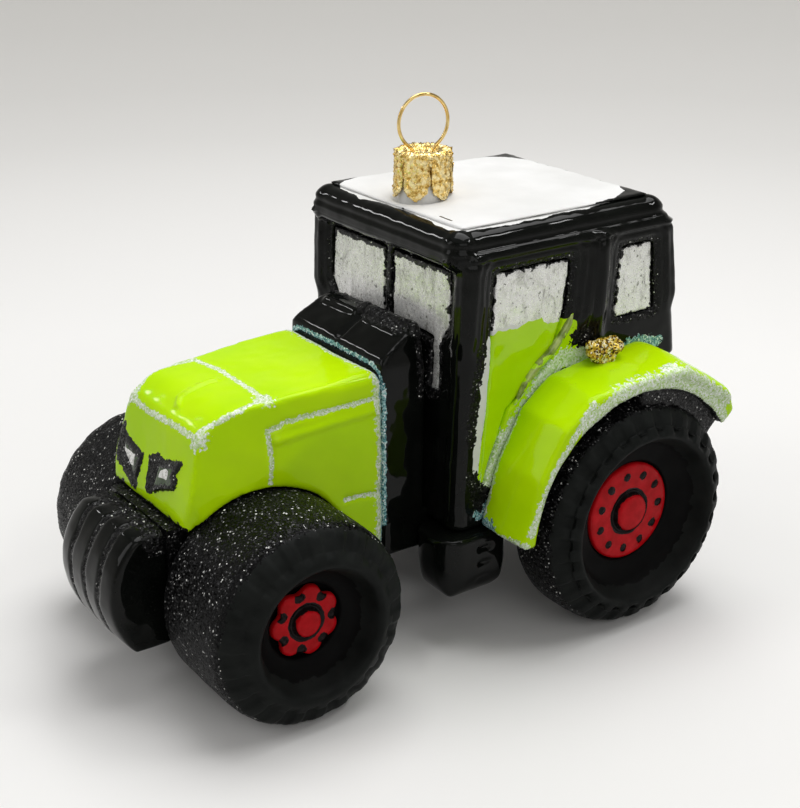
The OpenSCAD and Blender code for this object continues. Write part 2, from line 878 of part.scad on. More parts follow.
rear_tyre(false);  // rear_tyre_right
front_hub(true);  // front_hub_left
front_hub(false);  // front_hub_right
rear_hub(true);  // rear_hub_left
rear_hub(false);  // rear_hub_right
cap();
hanger();
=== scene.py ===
import math

import bmesh
import bpy
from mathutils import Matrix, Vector, kdtree, noise
from mathutils.bvhtree import BVHTree


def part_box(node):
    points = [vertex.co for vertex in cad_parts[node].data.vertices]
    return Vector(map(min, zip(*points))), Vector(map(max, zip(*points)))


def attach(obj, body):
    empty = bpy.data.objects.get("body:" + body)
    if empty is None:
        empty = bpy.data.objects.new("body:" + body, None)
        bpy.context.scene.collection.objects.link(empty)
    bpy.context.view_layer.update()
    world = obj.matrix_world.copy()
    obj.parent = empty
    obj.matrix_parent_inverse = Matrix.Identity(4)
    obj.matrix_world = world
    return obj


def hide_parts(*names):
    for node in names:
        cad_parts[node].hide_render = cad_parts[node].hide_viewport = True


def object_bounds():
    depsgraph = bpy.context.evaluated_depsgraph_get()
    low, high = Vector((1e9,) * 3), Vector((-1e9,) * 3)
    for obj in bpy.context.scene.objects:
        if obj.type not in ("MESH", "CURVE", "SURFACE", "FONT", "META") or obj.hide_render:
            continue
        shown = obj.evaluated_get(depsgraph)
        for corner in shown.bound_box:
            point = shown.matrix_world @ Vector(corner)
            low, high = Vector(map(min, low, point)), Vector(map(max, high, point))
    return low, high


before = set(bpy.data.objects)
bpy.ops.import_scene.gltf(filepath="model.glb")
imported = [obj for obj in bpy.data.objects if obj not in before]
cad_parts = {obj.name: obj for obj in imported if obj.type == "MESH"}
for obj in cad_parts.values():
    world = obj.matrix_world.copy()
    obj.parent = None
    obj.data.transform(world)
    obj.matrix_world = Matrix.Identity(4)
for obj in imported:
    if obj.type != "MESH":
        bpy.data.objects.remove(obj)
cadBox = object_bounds()
scene = bpy.context.scene
scene.view_settings.view_transform = "Standard"
print("frame loaded,", len(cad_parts), "nodes")


# small helpers, all in millimetres until a piece is finished

def clamp(x):
    return min(1.0, max(0.0, x))


def ease(low, high, x):  # 0 at low, 1 at high, smooth between
    t = clamp((x - low) / (high - low))
    return t * t * (3 - 2 * t)


def cadBlank(*names):
    bm = bmesh.new()
    for name in names:
        bm.from_mesh(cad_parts[name].data)
    bmesh.ops.scale(bm, vec=(1000, 1000, 1000), verts=bm.verts)
    bmesh.ops.remove_doubles(bm, verts=bm.verts, dist=0.002)
    return bm


def hullBlank(name):  # a copy closed over its grooves
    blank = cadBlank(name)
    bm = bmesh.new()
    for v in blank.verts:
        bm.verts.new(v.co)
    blank.free()
    bmesh.ops.convex_hull(bm, input=bm.verts)
    bmesh.ops.delete(bm, geom=[v for v in bm.verts if not v.link_faces], context="VERTS")
    return bm


def throughModifier(bm, kind, **settings):
    mesh = bpy.data.meshes.new("blank")
    bm.to_mesh(mesh)
    bm.free()
    obj = bpy.data.objects.new("blank", mesh)
    scene.collection.objects.link(obj)
    modifier = obj.modifiers.new("blank", kind)
    for key, value in settings.items():
        setattr(modifier, key, value)
    made = bmesh.new()
    made.from_object(obj, bpy.context.evaluated_depsgraph_get())
    bpy.data.objects.remove(obj)
    bpy.data.meshes.remove(mesh)
    made.normal_update()
    return made


def soften(bm, rounds):
    axes = {"use_axis_x": True, "use_axis_y": True, "use_axis_z": True}
    for _ in range(rounds):
        bmesh.ops.smooth_vert(bm, verts=bm.verts, factor=0.5, **axes)
    bm.normal_update()


def mould(bm, voxel, rounds):  # one soft skin, as glass takes the shape of its mould
    bm = throughModifier(bm, "REMESH", mode="VOXEL", voxel_size=voxel)
    soften(bm, rounds)
    for v in bm.verts:
        v.co += v.normal * (0.14 * noise.noise(v.co * 0.15) + 0.05 * noise.noise(v.co * 0.45))
    bm.normal_update()
    return bm


def spun(points, axis, steps, closed=False):  # a section turned once round an axis
    bm = bmesh.new()
    row = [bm.verts.new(p) for p in points]
    edges = [bm.edges.new(pair) for pair in zip(row, row[1:])]
    if closed:
        edges.append(bm.edges.new((row[-1], row[0])))
    bmesh.ops.spin(bm, geom=row + edges, cent=(0, 0, 0), axis=axis, angle=2 * math.pi, steps=steps,
                   use_merge=True)
    bmesh.ops.remove_doubles(bm, verts=bm.verts, dist=0.001)
    bmesh.ops.recalc_face_normals(bm, faces=bm.faces)
    return bm


def mirrored(bm):
    twin = bm.copy()
    bmesh.ops.scale(twin, vec=(-1, 1, 1), verts=twin.verts)
    bmesh.ops.reverse_faces(twin, faces=twin.faces)
    twin.normal_update()
    return twin


def walk(points, gap=0.2):  # even steps along a line
    steps = []
    for a, b in zip(points, points[1:]):
        a, b = Vector(a), Vector(b)
        count = max(1, int((b - a).length / gap))
        steps += [a.lerp(b, i / count) for i in range(count)]
    steps.append(Vector(points[-1]))
    return steps


def otherSide(line):
    return [(-p[0], p[1], p[2]) for p in line]


def nearTree(bm, lines, onSkin=True):
    spots = [p for line in lines for p in walk(line)]
    if onSkin:
        skin = BVHTree.FromBMesh(bm)
        spots = [skin.find_nearest(p)[0] for p in spots]
    found = kdtree.KDTree(len(spots))
    for i, p in enumerate(spots):
        found.insert(p, i)
    found.balance()
    return found


def outlineFar(u, t, outline):  # distance to a closed outline, negative outside it
    far, inside = 1e9, False
    for (u0, t0), (u1, t1) in zip(outline, outline[1:] + outline[:1]):
        du, dt = u1 - u0, t1 - t0
        share = clamp(((u - u0) * du + (t - t0) * dt) / max(1e-9, du * du + dt * dt))
        far = min(far, math.hypot(u - u0 - share * du, t - t0 - share * dt))
        if (t0 > t) != (t1 > t) and u < u0 + du * (t - t0) / dt:
            inside = not inside
    return far if inside else -far


def paintField(bm, name):
    return bm.verts.layers.float.get(name) or bm.verts.layers.float.new(name)


def paintLines(bm, name, lines, half):  # 0.5 at the paint's edge, 1 on the line
    layer = paintField(bm, name)
    near = nearTree(bm, lines)
    for v in bm.verts:
        v[layer] = max(v[layer], 1 - 0.5 * near.find(v.co)[2] / half)


def pressLines(bm, lines, half, depth):  # a groove, or a ridge where depth is negative
    near = nearTree(bm, lines)
    moves = []
    for v in bm.verts:
        far = near.find(v.co)[2]
        if far < half:
            moves.append((v, depth * ease(half, 0, far)))
    for v, d in moves:
        v.co -= v.normal * d
    bm.normal_update()


def grainAt(place, seed):  # a fixed number from 0 to 1 for each small cell of space
    return 0.5 + 0.5 * noise.cell(place * 9 + Vector((seed, seed, seed)))


def roughen(bm, name, amount, seed):  # grains stand up where the glitter lies
    layer = paintField(bm, name)
    for v in bm.verts:
        v.co += v.normal * amount * (grainAt(v.co, seed) - 0.4) * ease(0.4, 0.7, v[layer])
    bm.normal_update()


def finishPiece(bm, name, look, nodes, body="glass_body"):
    bmesh.ops.scale(bm, vec=(0.001, 0.001, 0.001), verts=bm.verts)
    for v in bm.verts:
        v.co = [min(high, max(low, c)) for low, c, high in zip(cadBox[0], v.co, cadBox[1])]
    bm.normal_update()
    mesh = bpy.data.meshes.new(name)
    bm.to_mesh(mesh)
    bm.free()
    mesh.materials.append(look)
    mesh.shade_smooth()
    obj = bpy.data.objects.new(name, mesh)
    scene.collection.objects.link(obj)
    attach(obj, body)
    if nodes:
        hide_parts(*nodes)


def finishPair(bm, name, look, nodes):  # a piece on the left and its mirrored twin
    twin = mirrored(bm)
    finishPiece(bm, name + "Left", look, [node + "_left" for node in nodes])
    finishPiece(twin, name + "Right", look, [node + "_right" for node in nodes])


# camera at the photo's angle

photoView = {"azimuth": 54.886, "elevation": 22.018, "distance": 0.26143, "lens": 66.68,
             "target": (0, 0.0068, 0.03518)}


def placeCamera(s):
    az, el = math.radians(s["azimuth"]), math.radians(s["elevation"])
    way = Vector((math.cos(el) * math.sin(az), -math.cos(el) * math.cos(az), math.sin(el)))
    lens = bpy.data.cameras.new("photoCamera")
    lens.lens = s["lens"]
    lens.sensor_width = 36
    lens.clip_start = 0.01
    obj = bpy.data.objects.new("photoCamera", lens)
    obj.location = Vector(s["target"]) + way * s["distance"]
    obj.rotation_euler = way.to_track_quat("Z", "Y").to_euler()
    scene.collection.objects.link(obj)
    scene.camera = obj


placeCamera(photoView)

# shader helpers


def addNode(tree, kind, inputs=None, **settings):
    made = tree.nodes.new("ShaderNode" + kind)
    for key, value in settings.items():
        setattr(made, key, value)
    for key, value in (inputs or {}).items():
        if isinstance(value, bpy.types.NodeSocket):
            tree.links.new(value, made.inputs[key])
        else:
            made.inputs[key].default_value = value
    return made


def mixColour(tree, share, a, b):
    return addNode(tree, "Mix", {0: share, 6: a, 7: b}, data_type="RGBA").outputs[2]


def mixNumber(tree, share, a, b):
    return addNode(tree, "Mix", {0: share, 2: a, 3: b}).outputs[0]


def mixNormal(tree, share, a, b):
    mixed = addNode(tree, "Mix", {0: share, 4: a, 5: b}, data_type="VECTOR").outputs[1]
    return addNode(tree, "VectorMath", {0: mixed}, operation="NORMALIZE").outputs[0]


def ramp(tree, share, stops):
    made = addNode(tree, "ValToRGB", {0: share})
    stopList = made.color_ramp.elements
    while len(stopList) < len(stops):
        stopList.new(0.5)
    for stop, (place, colour) in zip(stopList, stops):
        stop.position = place
        stop.color = (*colour, 1)
    return made.outputs[0]


# lacquers: colour, a second tone for its clouds, roughness; waves are the glass under it
lacquers = {
    "lime": {"colour": (0.5, 0.84, 0.0012), "tone": (0.58, 0.91, 0.002),
             "cloud": 70, "rough": 0.09, "wave": 0.06},
    "olive": {"colour": (0.13, 0.2, 0.006), "tone": (0.5, 0.6, 0.16),
              "cloud": 600, "rough": 0.05, "wave": 0.3},
    "black": {"colour": (0.0025, 0.003, 0.0025), "tone": (0.005, 0.006, 0.005),
              "cloud": 160, "rough": 0.05, "wave": 0.04},
    "charcoal": {"colour": (0.006, 0.007, 0.0065), "tone": (0.013, 0.0145, 0.0135),
                 "cloud": 220, "rough": 0.5, "wave": 0.2},
    "red": {"colour": (0.45, 0.002, 0.005), "tone": (0.62, 0.006, 0.012),
            "cloud": 500, "rough": 0.14, "wave": 0.15},
    "white": {"colour": (0.8, 0.8, 0.785), "tone": (0.86, 0.86, 0.85),
              "cloud": 120, "rough": 0.5, "wave": 0.15},
    "darkDots": {"colour": (0.008, 0.005, 0.005), "tone": (0.02, 0.014, 0.014),
                 "cloud": 900, "rough": 0.25, "wave": 0.1},
    "deep": {"colour": (0.001, 0.001, 0.001), "tone": (0.003, 0.003, 0.003),
             "cloud": 300, "rough": 0.6, "wave": 0.1},
    "lampGreen": {"colour": (0.012, 0.035, 0.006), "tone": (0.045, 0.1, 0.018),
                  "cloud": 700, "rough": 0.12, "wave": 0.2},
}

# glitters: flake size in metres, tones from gap to spark, tilt of the flakes; the near-white spark tones of
# the black, teal and gold glitters are painted glints
glitters = {
    "whiteGlitter": {"flake": 0.00027,
                     "tones": [(0.05, (0.46, 0.66, 0.2)), (0.35, (0.62, 0.78, 0.44)),
                               (0.75, (0.78, 0.89, 0.7)), (0.95, (0.97, 1, 0.95))],
                     "tilt": 0.4, "metal": 0.1, "rough": 0.35},
    "tealGlitter": {"flake": 0.00026,
                    "tones": [(0.05, (0.06, 0.2, 0.23)), (0.45, (0.2, 0.44, 0.46)),
                              (0.8, (0.5, 0.74, 0.73)), (0.95, (0.95, 1, 1))],
                    "tilt": 0.6, "metal": 0.1, "rough": 0.35},
    # the rare near-white flakes of the black glitter are painted glints
    "blackGlitter": {"flake": 0.00023,
                     "tones": [(0.3, (0.001, 0.001, 0.001)), (0.7, (0.006, 0.006, 0.0065)),
                               (0.94, (0.02, 0.02, 0.021)), (0.986, (0.16, 0.16, 0.16)),
                               (0.997, (0.85, 0.85, 0.82))],
                     "tilt": 0.7, "metal": 0.1, "rough": 0.35},
    "goldGlitter": {"flake": 0.00032,
                    "tones": [(0.2, (0.1, 0.045, 0.001)), (0.45, (0.65, 0.4, 0.015)),
                              (0.7, (1, 0.76, 0.08)), (0.93, (1, 0.97, 0.7))],
                    "tilt": 1.1, "metal": 0.2, "rough": 0.25},
}


def lacquerLook(tree, place, s):
    cloud = addNode(tree, "TexNoise", {"Vector": place, "Scale": s["cloud"], "Detail": 4}).outputs[0]
    share = addNode(tree, "MapRange", {0: cloud, 1: 0.35, 2: 0.7}).outputs[0]
    colour = mixColour(tree, share, (*s["colour"], 1), (*s["tone"], 1))
    wave = addNode(tree, "TexNoise", {"Vector": place, "Scale": 260, "Detail": 2}).outputs[0]
    normal = addNode(tree, "Bump", {"Height": wave, "Strength": s["wave"], "Distance": 0.0006}).outputs[0]
    low, high = s["rough"] * 0.8, s["rough"] * 1.25
    rough = addNode(tree, "MapRange", {0: cloud, 1: 0.3, 2: 0.75, 3: low, 4: high}).outputs[0]
    return colour, 0.0, rough, normal


def glitterLook(tree, place, s):
    cell = addNode(tree, "TexVoronoi", {"Vector": place, "Scale": 1 / s["flake"]})
    dice = addNode(tree, "SeparateColor", {0: cell.outputs["Color"]}).outputs[0]
    colour = ramp(tree, dice, s["tones"])
    middle = {0: cell.outputs["Color"], 1: (0.5, 0.5, 0.5)}
    lean = addNode(tree, "VectorMath", middle, operation="SUBTRACT").outputs[0]
    lean = addNode(tree, "VectorMath", {0: lean, "Scale": s["tilt"]}, operation="SCALE").outputs[0]
    facing = addNode(tree, "NewGeometry").outputs["Normal"]
    tipped = addNode(tree, "VectorMath", {0: facing, 1: lean}, operation="ADD").outputs[0]
    normal = addNode(tree, "VectorMath", {0: tipped}, operation="NORMALIZE").outputs[0]
    return colour, s["metal"], s["rough"], normal


def silverAndPaintedReflection(tree, place):  # silvering seen through the glass, mottled and specked; its pale patches and streaks are also a painted reflection of the white surroundings
    streak = addNode(tree, "VectorMath", {0: place, 1: (1, 1, 0.5)}, operation="MULTIPLY").outputs[0]
    cloud = addNode(tree, "TexNoise", {"Vector": streak, "Scale": 480, "Detail": 8, "Roughness": 0.75,
                                       "Distortion": 0.8}).outputs[0]
    tones = [(0.32, (0.36, 0.36, 0.33)), (0.42, (0.74, 0.74, 0.71)), (0.49, (0.95, 0.95, 0.92)),
             (0.6, (0.98, 0.98, 0.96))]
    colour = ramp(tree, cloud, tones)
    fleck = addNode(tree, "TexNoise", {"Vector": place, "Scale": 1500, "Detail": 3}).outputs[0]
    dark = addNode(tree, "MapRange", {0: fleck, 1: 0.62, 2: 0.7}).outputs[0]
    colour = mixColour(tree, dark, colour, (0.24, 0.24, 0.22, 1))
    bump = addNode(tree, "Bump", {"Height": cloud, "Strength": 0.45, "Distance": 0.0006}).outputs[0]
    rough = addNode(tree, "MapRange", {0: fleck, 1: 0.3, 2: 0.7, 3: 0.18, 4: 0.42}).outputs[0]
    return colour, 0.35, rough, bump


def lookOf(tree, place, name):
    if name in lacquers:
        return lacquerLook(tree, place, lacquers[name])
    if name in glitters:
        return glitterLook(tree, place, glitters[name])
    return silverAndPaintedReflection(tree, place)


def paintMask(tree, place, field, name):
    scale, reach = (1500, 0.35) if name in glitters else (700, 0.16)
    value = addNode(tree, "Attribute", attribute_name=field).outputs["Fac"]
    jag = addNode(tree, "TexNoise", {"Vector": place, "Scale": scale, "Detail": 3}).outputs[0]
    jag = addNode(tree, "MapRange", {0: jag, 1: 0.2, 2: 0.8, 3: -reach, 4: reach}).outputs[0]
    total = addNode(tree, "Math", {0: value, 1: jag}, operation="ADD").outputs[0]
    edge = {0: total, 1: 0.47, 2: 0.53}
    return addNode(tree, "MapRange", edge, interpolation_type="SMOOTHSTEP").outputs[0]


def paintStack(name, base, coats, gloss):  # a ground colour and paints over it, where their fields are high
    look = bpy.data.materials.new(name)
    look.use_nodes = True
    tree = look.node_tree
    shader = tree.nodes["Principled BSDF"]
    place = addNode(tree, "TexCoord").outputs["Object"]
    colour, metal, rough, normal = lookOf(tree, place, base)
    for field, coat in coats:
        mask = paintMask(tree, place, field, coat)
        colour2, metal2, rough2, normal2 = lookOf(tree, place, coat)
        colour = mixColour(tree, mask, colour, colour2)
        metal = mixNumber(tree, mask, metal, metal2)
        rough = mixNumber(tree, mask, rough, rough2)
        normal = mixNormal(tree, mask, normal, normal2)
    values = {"Base Color": colour, "Metallic": metal, "Roughness": rough, "Normal": normal}
    for key, value in values.items():
        if isinstance(value, bpy.types.NodeSocket):
            tree.links.new(value, shader.inputs[key])
        else:
            shader.inputs[key].default_value = value
    shader.inputs["Specular IOR Level"].default_value = gloss
    return look


glitterLines = [("white", "whiteGlitter"), ("teal", "tealGlitter"), ("black", "blackGlitter")]
blackEdge = [("black", "blackGlitter")]
limePaint = paintStack("limePaint", "lime", glitterLines, 0.1)
blackPaint = paintStack("blackPaint", "black", [("lime", "lime"), ("roof", "white")] + glitterLines, 0.14)
tyrePaint = paintStack("tyrePaint", "charcoal", [("deep", "deep")] + blackEdge, 0.07)
hubPaint = paintStack("hubPaint", "red", [("dark", "darkDots")], 0.08)
roofPaint = paintStack("roofPaint", "white", [("worn", "darkDots"), ("rim", "black")], 0.14)
panePaint = paintStack("panePaint", "silver", blackEdge, 0.4)
doorPaint = paintStack("doorPaint", "silver", [("reflectionStrip", "white"), ("lime", "lime")] + blackEdge, 0.3)
lampPaint = paintStack("lampPaint", "lampGreen", [("silver", "silver")] + blackEdge, 0.3)
railPaint = paintStack("railPaint", "olive", [("lime", "lime"), ("white", "whiteGlitter")], 0.6)
goldFlakes = paintStack("goldFlakes", "goldGlitter", [], 0.4)
blackFlakes = paintStack("blackFlakes", "blackGlitter", [], 0.2)


def goldLook(name, s):
    look = bpy.data.materials.new(name)
    look.use_nodes = True
    tree = look.node_tree
    shader = tree.nodes["Principled BSDF"]
    place = addNode(tree, "TexCoord").outputs["Object"]
    grain = addNode(tree, "TexNoise", {"Vector": place, "Scale": s["grain"], "Detail": 4}).outputs[0]
    colour = ramp(tree, grain, s["tones"])
    bump = addNode(tree, "Bump", {"Height": grain, "Strength": s["bump"], "Distance": 0.0003}).outputs[0]
    low, high = s["rough"], s["rough"] + 0.15
    rough = addNode(tree, "MapRange", {0: grain, 1: 0.3, 2: 0.7, 3: low, 4: high}).outputs[0]
    tree.links.new(colour, shader.inputs["Base Color"])
    tree.links.new(rough, shader.inputs["Roughness"])
    tree.links.new(bump, shader.inputs["Normal"])
    shader.inputs["Metallic"].default_value = 1.0
    return look


capGold = goldLook("capGold", {"grain": 1300, "bump": 0.8, "rough": 0.2, "tones": [
    (0.32, (0.45, 0.25, 0.045)), (0.46, (0.85, 0.6, 0.19)), (0.6, (1, 0.84, 0.45))]})
wireGold = goldLook("wireGold", {"grain": 700, "bump": 0.08, "rough": 0.12, "tones": [
    (0.3, (0.6, 0.38, 0.1)), (0.6, (0.88, 0.66, 0.28)), (0.8, (0.95, 0.78, 0.42))]})
print("paints mixed")

# studio: a round sweep of pale paper, soft light from above

# lamps: place in metres, size and power
studio = {
    # far is the paper's colour away from the middle: painted shade for the lamps' falloff
    "floor": (0.87, 0.862, 0.849), "far": (0.64, 0.628, 0.602), "bounce": (0.42, 0.417, 0.41),
    "flat": 0.4, "curve": 0.5, "wall": 1.3, "sky": 0.42,
    "lamps": {
        "key": ((-0.1, 0.2, 0.74), (0.6, 0.6), 4.3),
        "side": ((0.6, -0.15, 0.4), (0.5, 0.4), 0.8),
        "rear": ((-0.25, -0.6, 0.45), (0.3, 0.5), 0.9),
        "frontStrip": ((-0.57, -0.28, 0.43), (0.16, 0.03), 0.3),
        "sideStrip": ((0.28, 0.4, 0.6), (0.2, 0.04), 0.6),
    },
}


def buildStudio(s):
    flat, curve = s["flat"], s["curve"]
    sweep = [(0, 0), (flat / 2, 0), (flat, 0)]
    for i in range(1, 11):
        turn = i * math.pi / 20
        sweep.append((flat + curve * math.sin(turn), curve - curve * math.cos(turn)))
    sweep.append((flat + curve, s["wall"]))
    bm = spun([(r, 0, z) for r, z in sweep], (0, 0, 1), 96)
    bmesh.ops.reverse_faces(bm, faces=bm.faces)
    mesh = bpy.data.meshes.new("paperSweep")
    bm.to_mesh(mesh)
    bm.free()
    mesh.shade_smooth()
    paper = bpy.data.materials.new("paper")
    paper.use_nodes = True
    tree = paper.node_tree
    shader = tree.nodes["Principled BSDF"]
    place = addNode(tree, "TexCoord").outputs["Object"]
    # the paper is painted darker with distance from the middle, a painted shade for the lamps' falloff
    far = addNode(tree, "VectorMath", {0: place}, operation="LENGTH").outputs["Value"]
    share = addNode(tree, "MapRange", {0: far, 1: 0.16, 2: 0.6}).outputs[0]
    pale = mixColour(tree, share, (*s["floor"], 1), (*s["far"], 1))
    rays = addNode(tree, "LightPath")
    seen = rays.outputs["Is Camera Ray"]
    for kind in ("Is Glossy Ray", "Is Transmission Ray"):
        seen = addNode(tree, "Math", {0: seen, 1: rays.outputs[kind]}, operation="MAXIMUM").outputs[0]
    tree.links.new(mixColour(tree, seen, (*s["bounce"], 1), pale), shader.inputs["Base Color"])
    shader.inputs["Roughness"].default_value = 0.7
    shader.inputs["Specular IOR Level"].default_value = 0.2
    mesh.materials.append(paper)
    floor = bpy.data.objects.new("paperSweep", mesh)
    scene.collection.objects.link(floor)
    world = bpy.data.worlds.new("studioSky")
    world.use_nodes = True
    sky = world.node_tree.nodes["Background"]
    sky.inputs["Color"].default_value = (1, 0.99, 0.975, 1)
    sky.inputs["Strength"].default_value = s["sky"]
    scene.world = world
    for name, (where, size, power) in s["lamps"].items():
        lamp = bpy.data.lights.new(name + "Softbox", "AREA")
        lamp.shape = "RECTANGLE"
        lamp.size, lamp.size_y = size
        lamp.energy = power
        obj = bpy.data.objects.new(name + "Softbox", lamp)
        obj.location = where
        obj.rotation_euler = (Vector(where) - Vector((0, 0, 0.03))).to_track_quat("Z", "Y").to_euler()
        scene.collection.objects.link(obj)


buildStudio(studio)
print("studio built")

# tyres: a spun section, lug gaps pressed into the outer shoulder, glitter on the tread

tyreSet = {
    "front": {"bowl": 10.2, "hub": 6.1, "bore": 3.3, "lugs": 22, "depth": 0.42},
    "rear": {"bowl": 14.2, "hub": 8.8, "bore": 4.1, "lugs": 26, "depth": 0.55},
}


def makeTyre(axle, s):
    lo, hi = [c * 1000 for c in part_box(axle + "_tyre_left")]
    r, w = (hi.z - lo.z) / 2, hi.x - lo.x
    bowl, hub, bore = s["bowl"], s["hub"], s["bore"]
    section = [(bore, 1.2), (r - 6, 0.4), (r - 3.0, 0.15), (r - 1.0, 0.8), (r - 0.1, 2.3), (r, 4.2),
               (r, w * 0.5), (r, w - 6.0), (r - 0.1, w - 4.2), (r - 0.7, w - 2.5), (r - 2.1, w - 1.4),
               (r - 3.6, w - 1.1), (bowl + 3.2, w - 1.0), (bowl + 2.0, w - 0.4), (bowl + 1.2, w - 0.05),
               (bowl + 0.5, w - 0.3), (bowl, w - 1.3), (bowl - 0.6, w - 2.7), (bowl - 1.5, w - 4.2),
               (hub + 1.1, w - 5.1), (hub + 0.2, w - 5.2), (hub + 0.2, w - 6.6), (bore, w - 6.6)]
    bm = spun([(a, 0, rr) for rr, a in section], (1, 0, 0), 104, closed=True)
    bm = throughModifier(bm, "SUBSURF", levels=2, render_levels=2)
    layer, deep = paintField(bm, "black"), paintField(bm, "deep")
    for v in bm.verts:
        a, rr, turn = v.co.x, math.hypot(v.co.y, v.co.z), math.atan2(v.co.z, v.co.y)
        gap = ease(0.2, 0.9, 0.5 + 0.5 * math.cos(turn * s["lugs"]))
        rim = ease(r - 5.0, r - 3.4, rr) * (1 - 0.75 * ease(r - 1.6, r - 0.5, rr))
        v.co -= v.normal * s["depth"] * rim * gap * ease(w - 5.2, w - 3.0, a)
        tread = min((rr - (r - 2.2)) / 0.9, (w - 3.0 - a) / 1.2)
        v[layer] = clamp(0.5 + 0.5 * tread)
        v[deep] = clamp(0.5 + 0.4 * (bowl - 1.0 - rr))
    bm.normal_update()
    roughen(bm, "black", 0.12, 11)
    reach = max(math.hypot(v.co.y, v.co.z) for v in bm.verts)
    bmesh.ops.scale(bm, vec=(1, r / reach, r / reach), verts=bm.verts)
    bmesh.ops.translate(bm, vec=(lo.x, (lo.y + hi.y) / 2, r), verts=bm.verts)
    finishPair(bm, axle + "Tyre", tyrePaint, [axle + "_tyre"])


for axle, s in tyreSet.items():
    makeTyre(axle, s)
print("tyres spun")

# hubs: red flange with a raised cap, dark dots and a dark ring

hubSet = {"front": {"bolts": 7, "lobes": 0.15, "dot": 0.9}, "rear": {"bolts": 11, "lobes": 0.0, "dot": 0.8}}


def makeHub(axle, s):
    lo, hi = [c * 1000 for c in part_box(axle + "_hub_left")]
    r = tyreSet[axle]["hub"]
    cap = r * 0.38
    top = hi.x - lo.x - 1.0
    section = [(0, 0), (r * 0.6, 0), (r, 0), (r, top - 0.5), (r - 0.2, top - 0.1), (r - 0.7, top),
               (r * 0.7, top), (cap + 0.9, top), (cap + 0.65, top - 0.05), (cap + 0.4, top - 0.3),
               (cap + 0.1, top - 0.2), (cap, top + 0.4), (cap - 0.2, top + 0.8), (cap - 0.6, top + 0.95),
               (0, top + 1.0)]
    bm = spun([(a, 0, rr) for rr, a in section], (1, 0, 0), s["bolts"] * 8)
    bm = throughModifier(bm, "SUBSURF", levels=2, render_levels=2)
    layer = paintField(bm, "dark")
    for v in bm.verts:
        rr, turn = math.hypot(v.co.y, v.co.z), math.atan2(v.co.z, v.co.y)
        wave = 0.5 + 0.5 * math.cos(turn * s["bolts"])
        pull = 1 - s["lobes"] * ease(0.55 * r, r, rr) * wave ** 1.5
        v.co.y *= pull
        v.co.z *= pull
        step = 2 * math.pi / s["bolts"]
        bolt = round(turn / step) * step
        far = math.hypot(v.co.y - r * 0.76 * math.cos(bolt), v.co.z - r * 0.76 * math.sin(bolt))
        if v.co.x > top - 0.3:
            v.co.x += 0.3 * ease(0.85, 0.2, far)
            ringFar = abs(rr - cap - 0.42)
            v[layer] = max(1 - 0.5 * far / s["dot"], 1 - 0.5 * ringFar / 0.55, 0)
    bmesh.ops.translate(bm, vec=(lo.x, (lo.y + hi.y) / 2, (lo.z + hi.z) / 2), verts=bm.verts)
    finishPair(bm, axle + "Hub", hubPaint, [axle + "_hub"])


for axle, s in hubSet.items():
    makeHub(axle, s)
print("hubs spun")

# hood: lime shell with pressed panel grooves and glitter lines

hoodSet = {
    "noseTop": [(-11.3, -38.6, 43.3), (-4.2, -38.8, 43.0), (3.5, -38.6, 43.5), (8.4, -38.5, 43.5),
                (11.3, -38.4, 43.7)],
    "across": [(-12.2, -27.2, 47.3), (-3.6, -25.9, 47.3), (6.6, -26.2, 47.3), (10.6, -26.5, 47.3)],
    "join": [(10.4, -37.9, 44.3), (11.8, -35.3, 45.9), (11.8, -31.4, 47.0), (10.9, -27.4, 47.2)],
    "sideUp": [(13.2, -27.3, 43.0), (13.7, -27.3, 40.2), (14.2, -27.4, 37.5), (14.4, -27.8, 34.6)],
    "sideAlong": [(13.3, -27.4, 42.7), (13.4, -24.0, 43.8), (14.2, -16.4, 44.1), (14.3, -8.3, 44.3)],
    "sideStep": [(14.2, -26.2, 41.2), (14.4, -16.4, 42.0), (14.4, -8.6, 42.3)],
    "sideLow": [(14.8, -14.3, 28.3), (14.9, -10.2, 28.0), (15.0, -7.0, 27.7)],
    "leaf": [(1.3, -36.5, 45.3), (-0.3, -35.3, 46.1), (-0.4, -33.4, 46.8), (-1.1, -30.3, 47.1),
             (-1.0, -28.4, 47.2)],
    "rearEdge": [(15, -6.8, 17.5), (15, -6.8, 24), (14.9, -6.8, 34), (14.5, -6.8, 41), (14.2, -6.8, 45),
                 (13.4, -6.8, 47.6), (11.5, -6.8, 48.5), (0, -6.8, 48.6)],
    "blobs": [[(11.5, -38.5, 43.9), (11.2, -38.2, 43.0)], [(-11.4, -38.5, 43.5), (-11.0, -38.5, 43.5)],
              [(10.6, -26.6, 47.2), (11.4, -26.6, 47)]],
}

lampSet = {
    "outlines": [[(-11.9, 39.3), (-10.9, 39.6), (-10.5, 38.0), (-8.6, 37.5), (-3.4, 36.5), (-3.5, 34.6),
                  (-3.9, 32.5), (-3.6, 31.1), (-4.3, 30.4), (-5.8, 30.4), (-7.6, 31.4), (-9.8, 32.1),
                  (-11.8, 32.6), (-12.7, 34.2), (-12.5, 35.8), (-12.8, 37.6)],
                 [(-1.8, 36.8), (0.8, 38.2), (3.6, 37.9), (8.1, 39.3), (8.9, 39.0), (7.6, 36.9),
                  (8.5, 35.9), (7.9, 34.5), (4.0, 33.1), (0.5, 31.3), (-0.9, 31.4), (-1.4, 33.1),
                  (-1.4, 34.8)]],
    "spots": [[(-9.7, 36.6), (-8.6, 35.8), (-5.5, 35.9), (-5.3, 34.0), (-7.3, 34.0), (-9.2, 34.9)],
              [(5.0, 37.2), (5.8, 36.9), (5.8, 35.6), (4.1, 35.4), (3.1, 35.2), (3.3, 36.1)]],
}


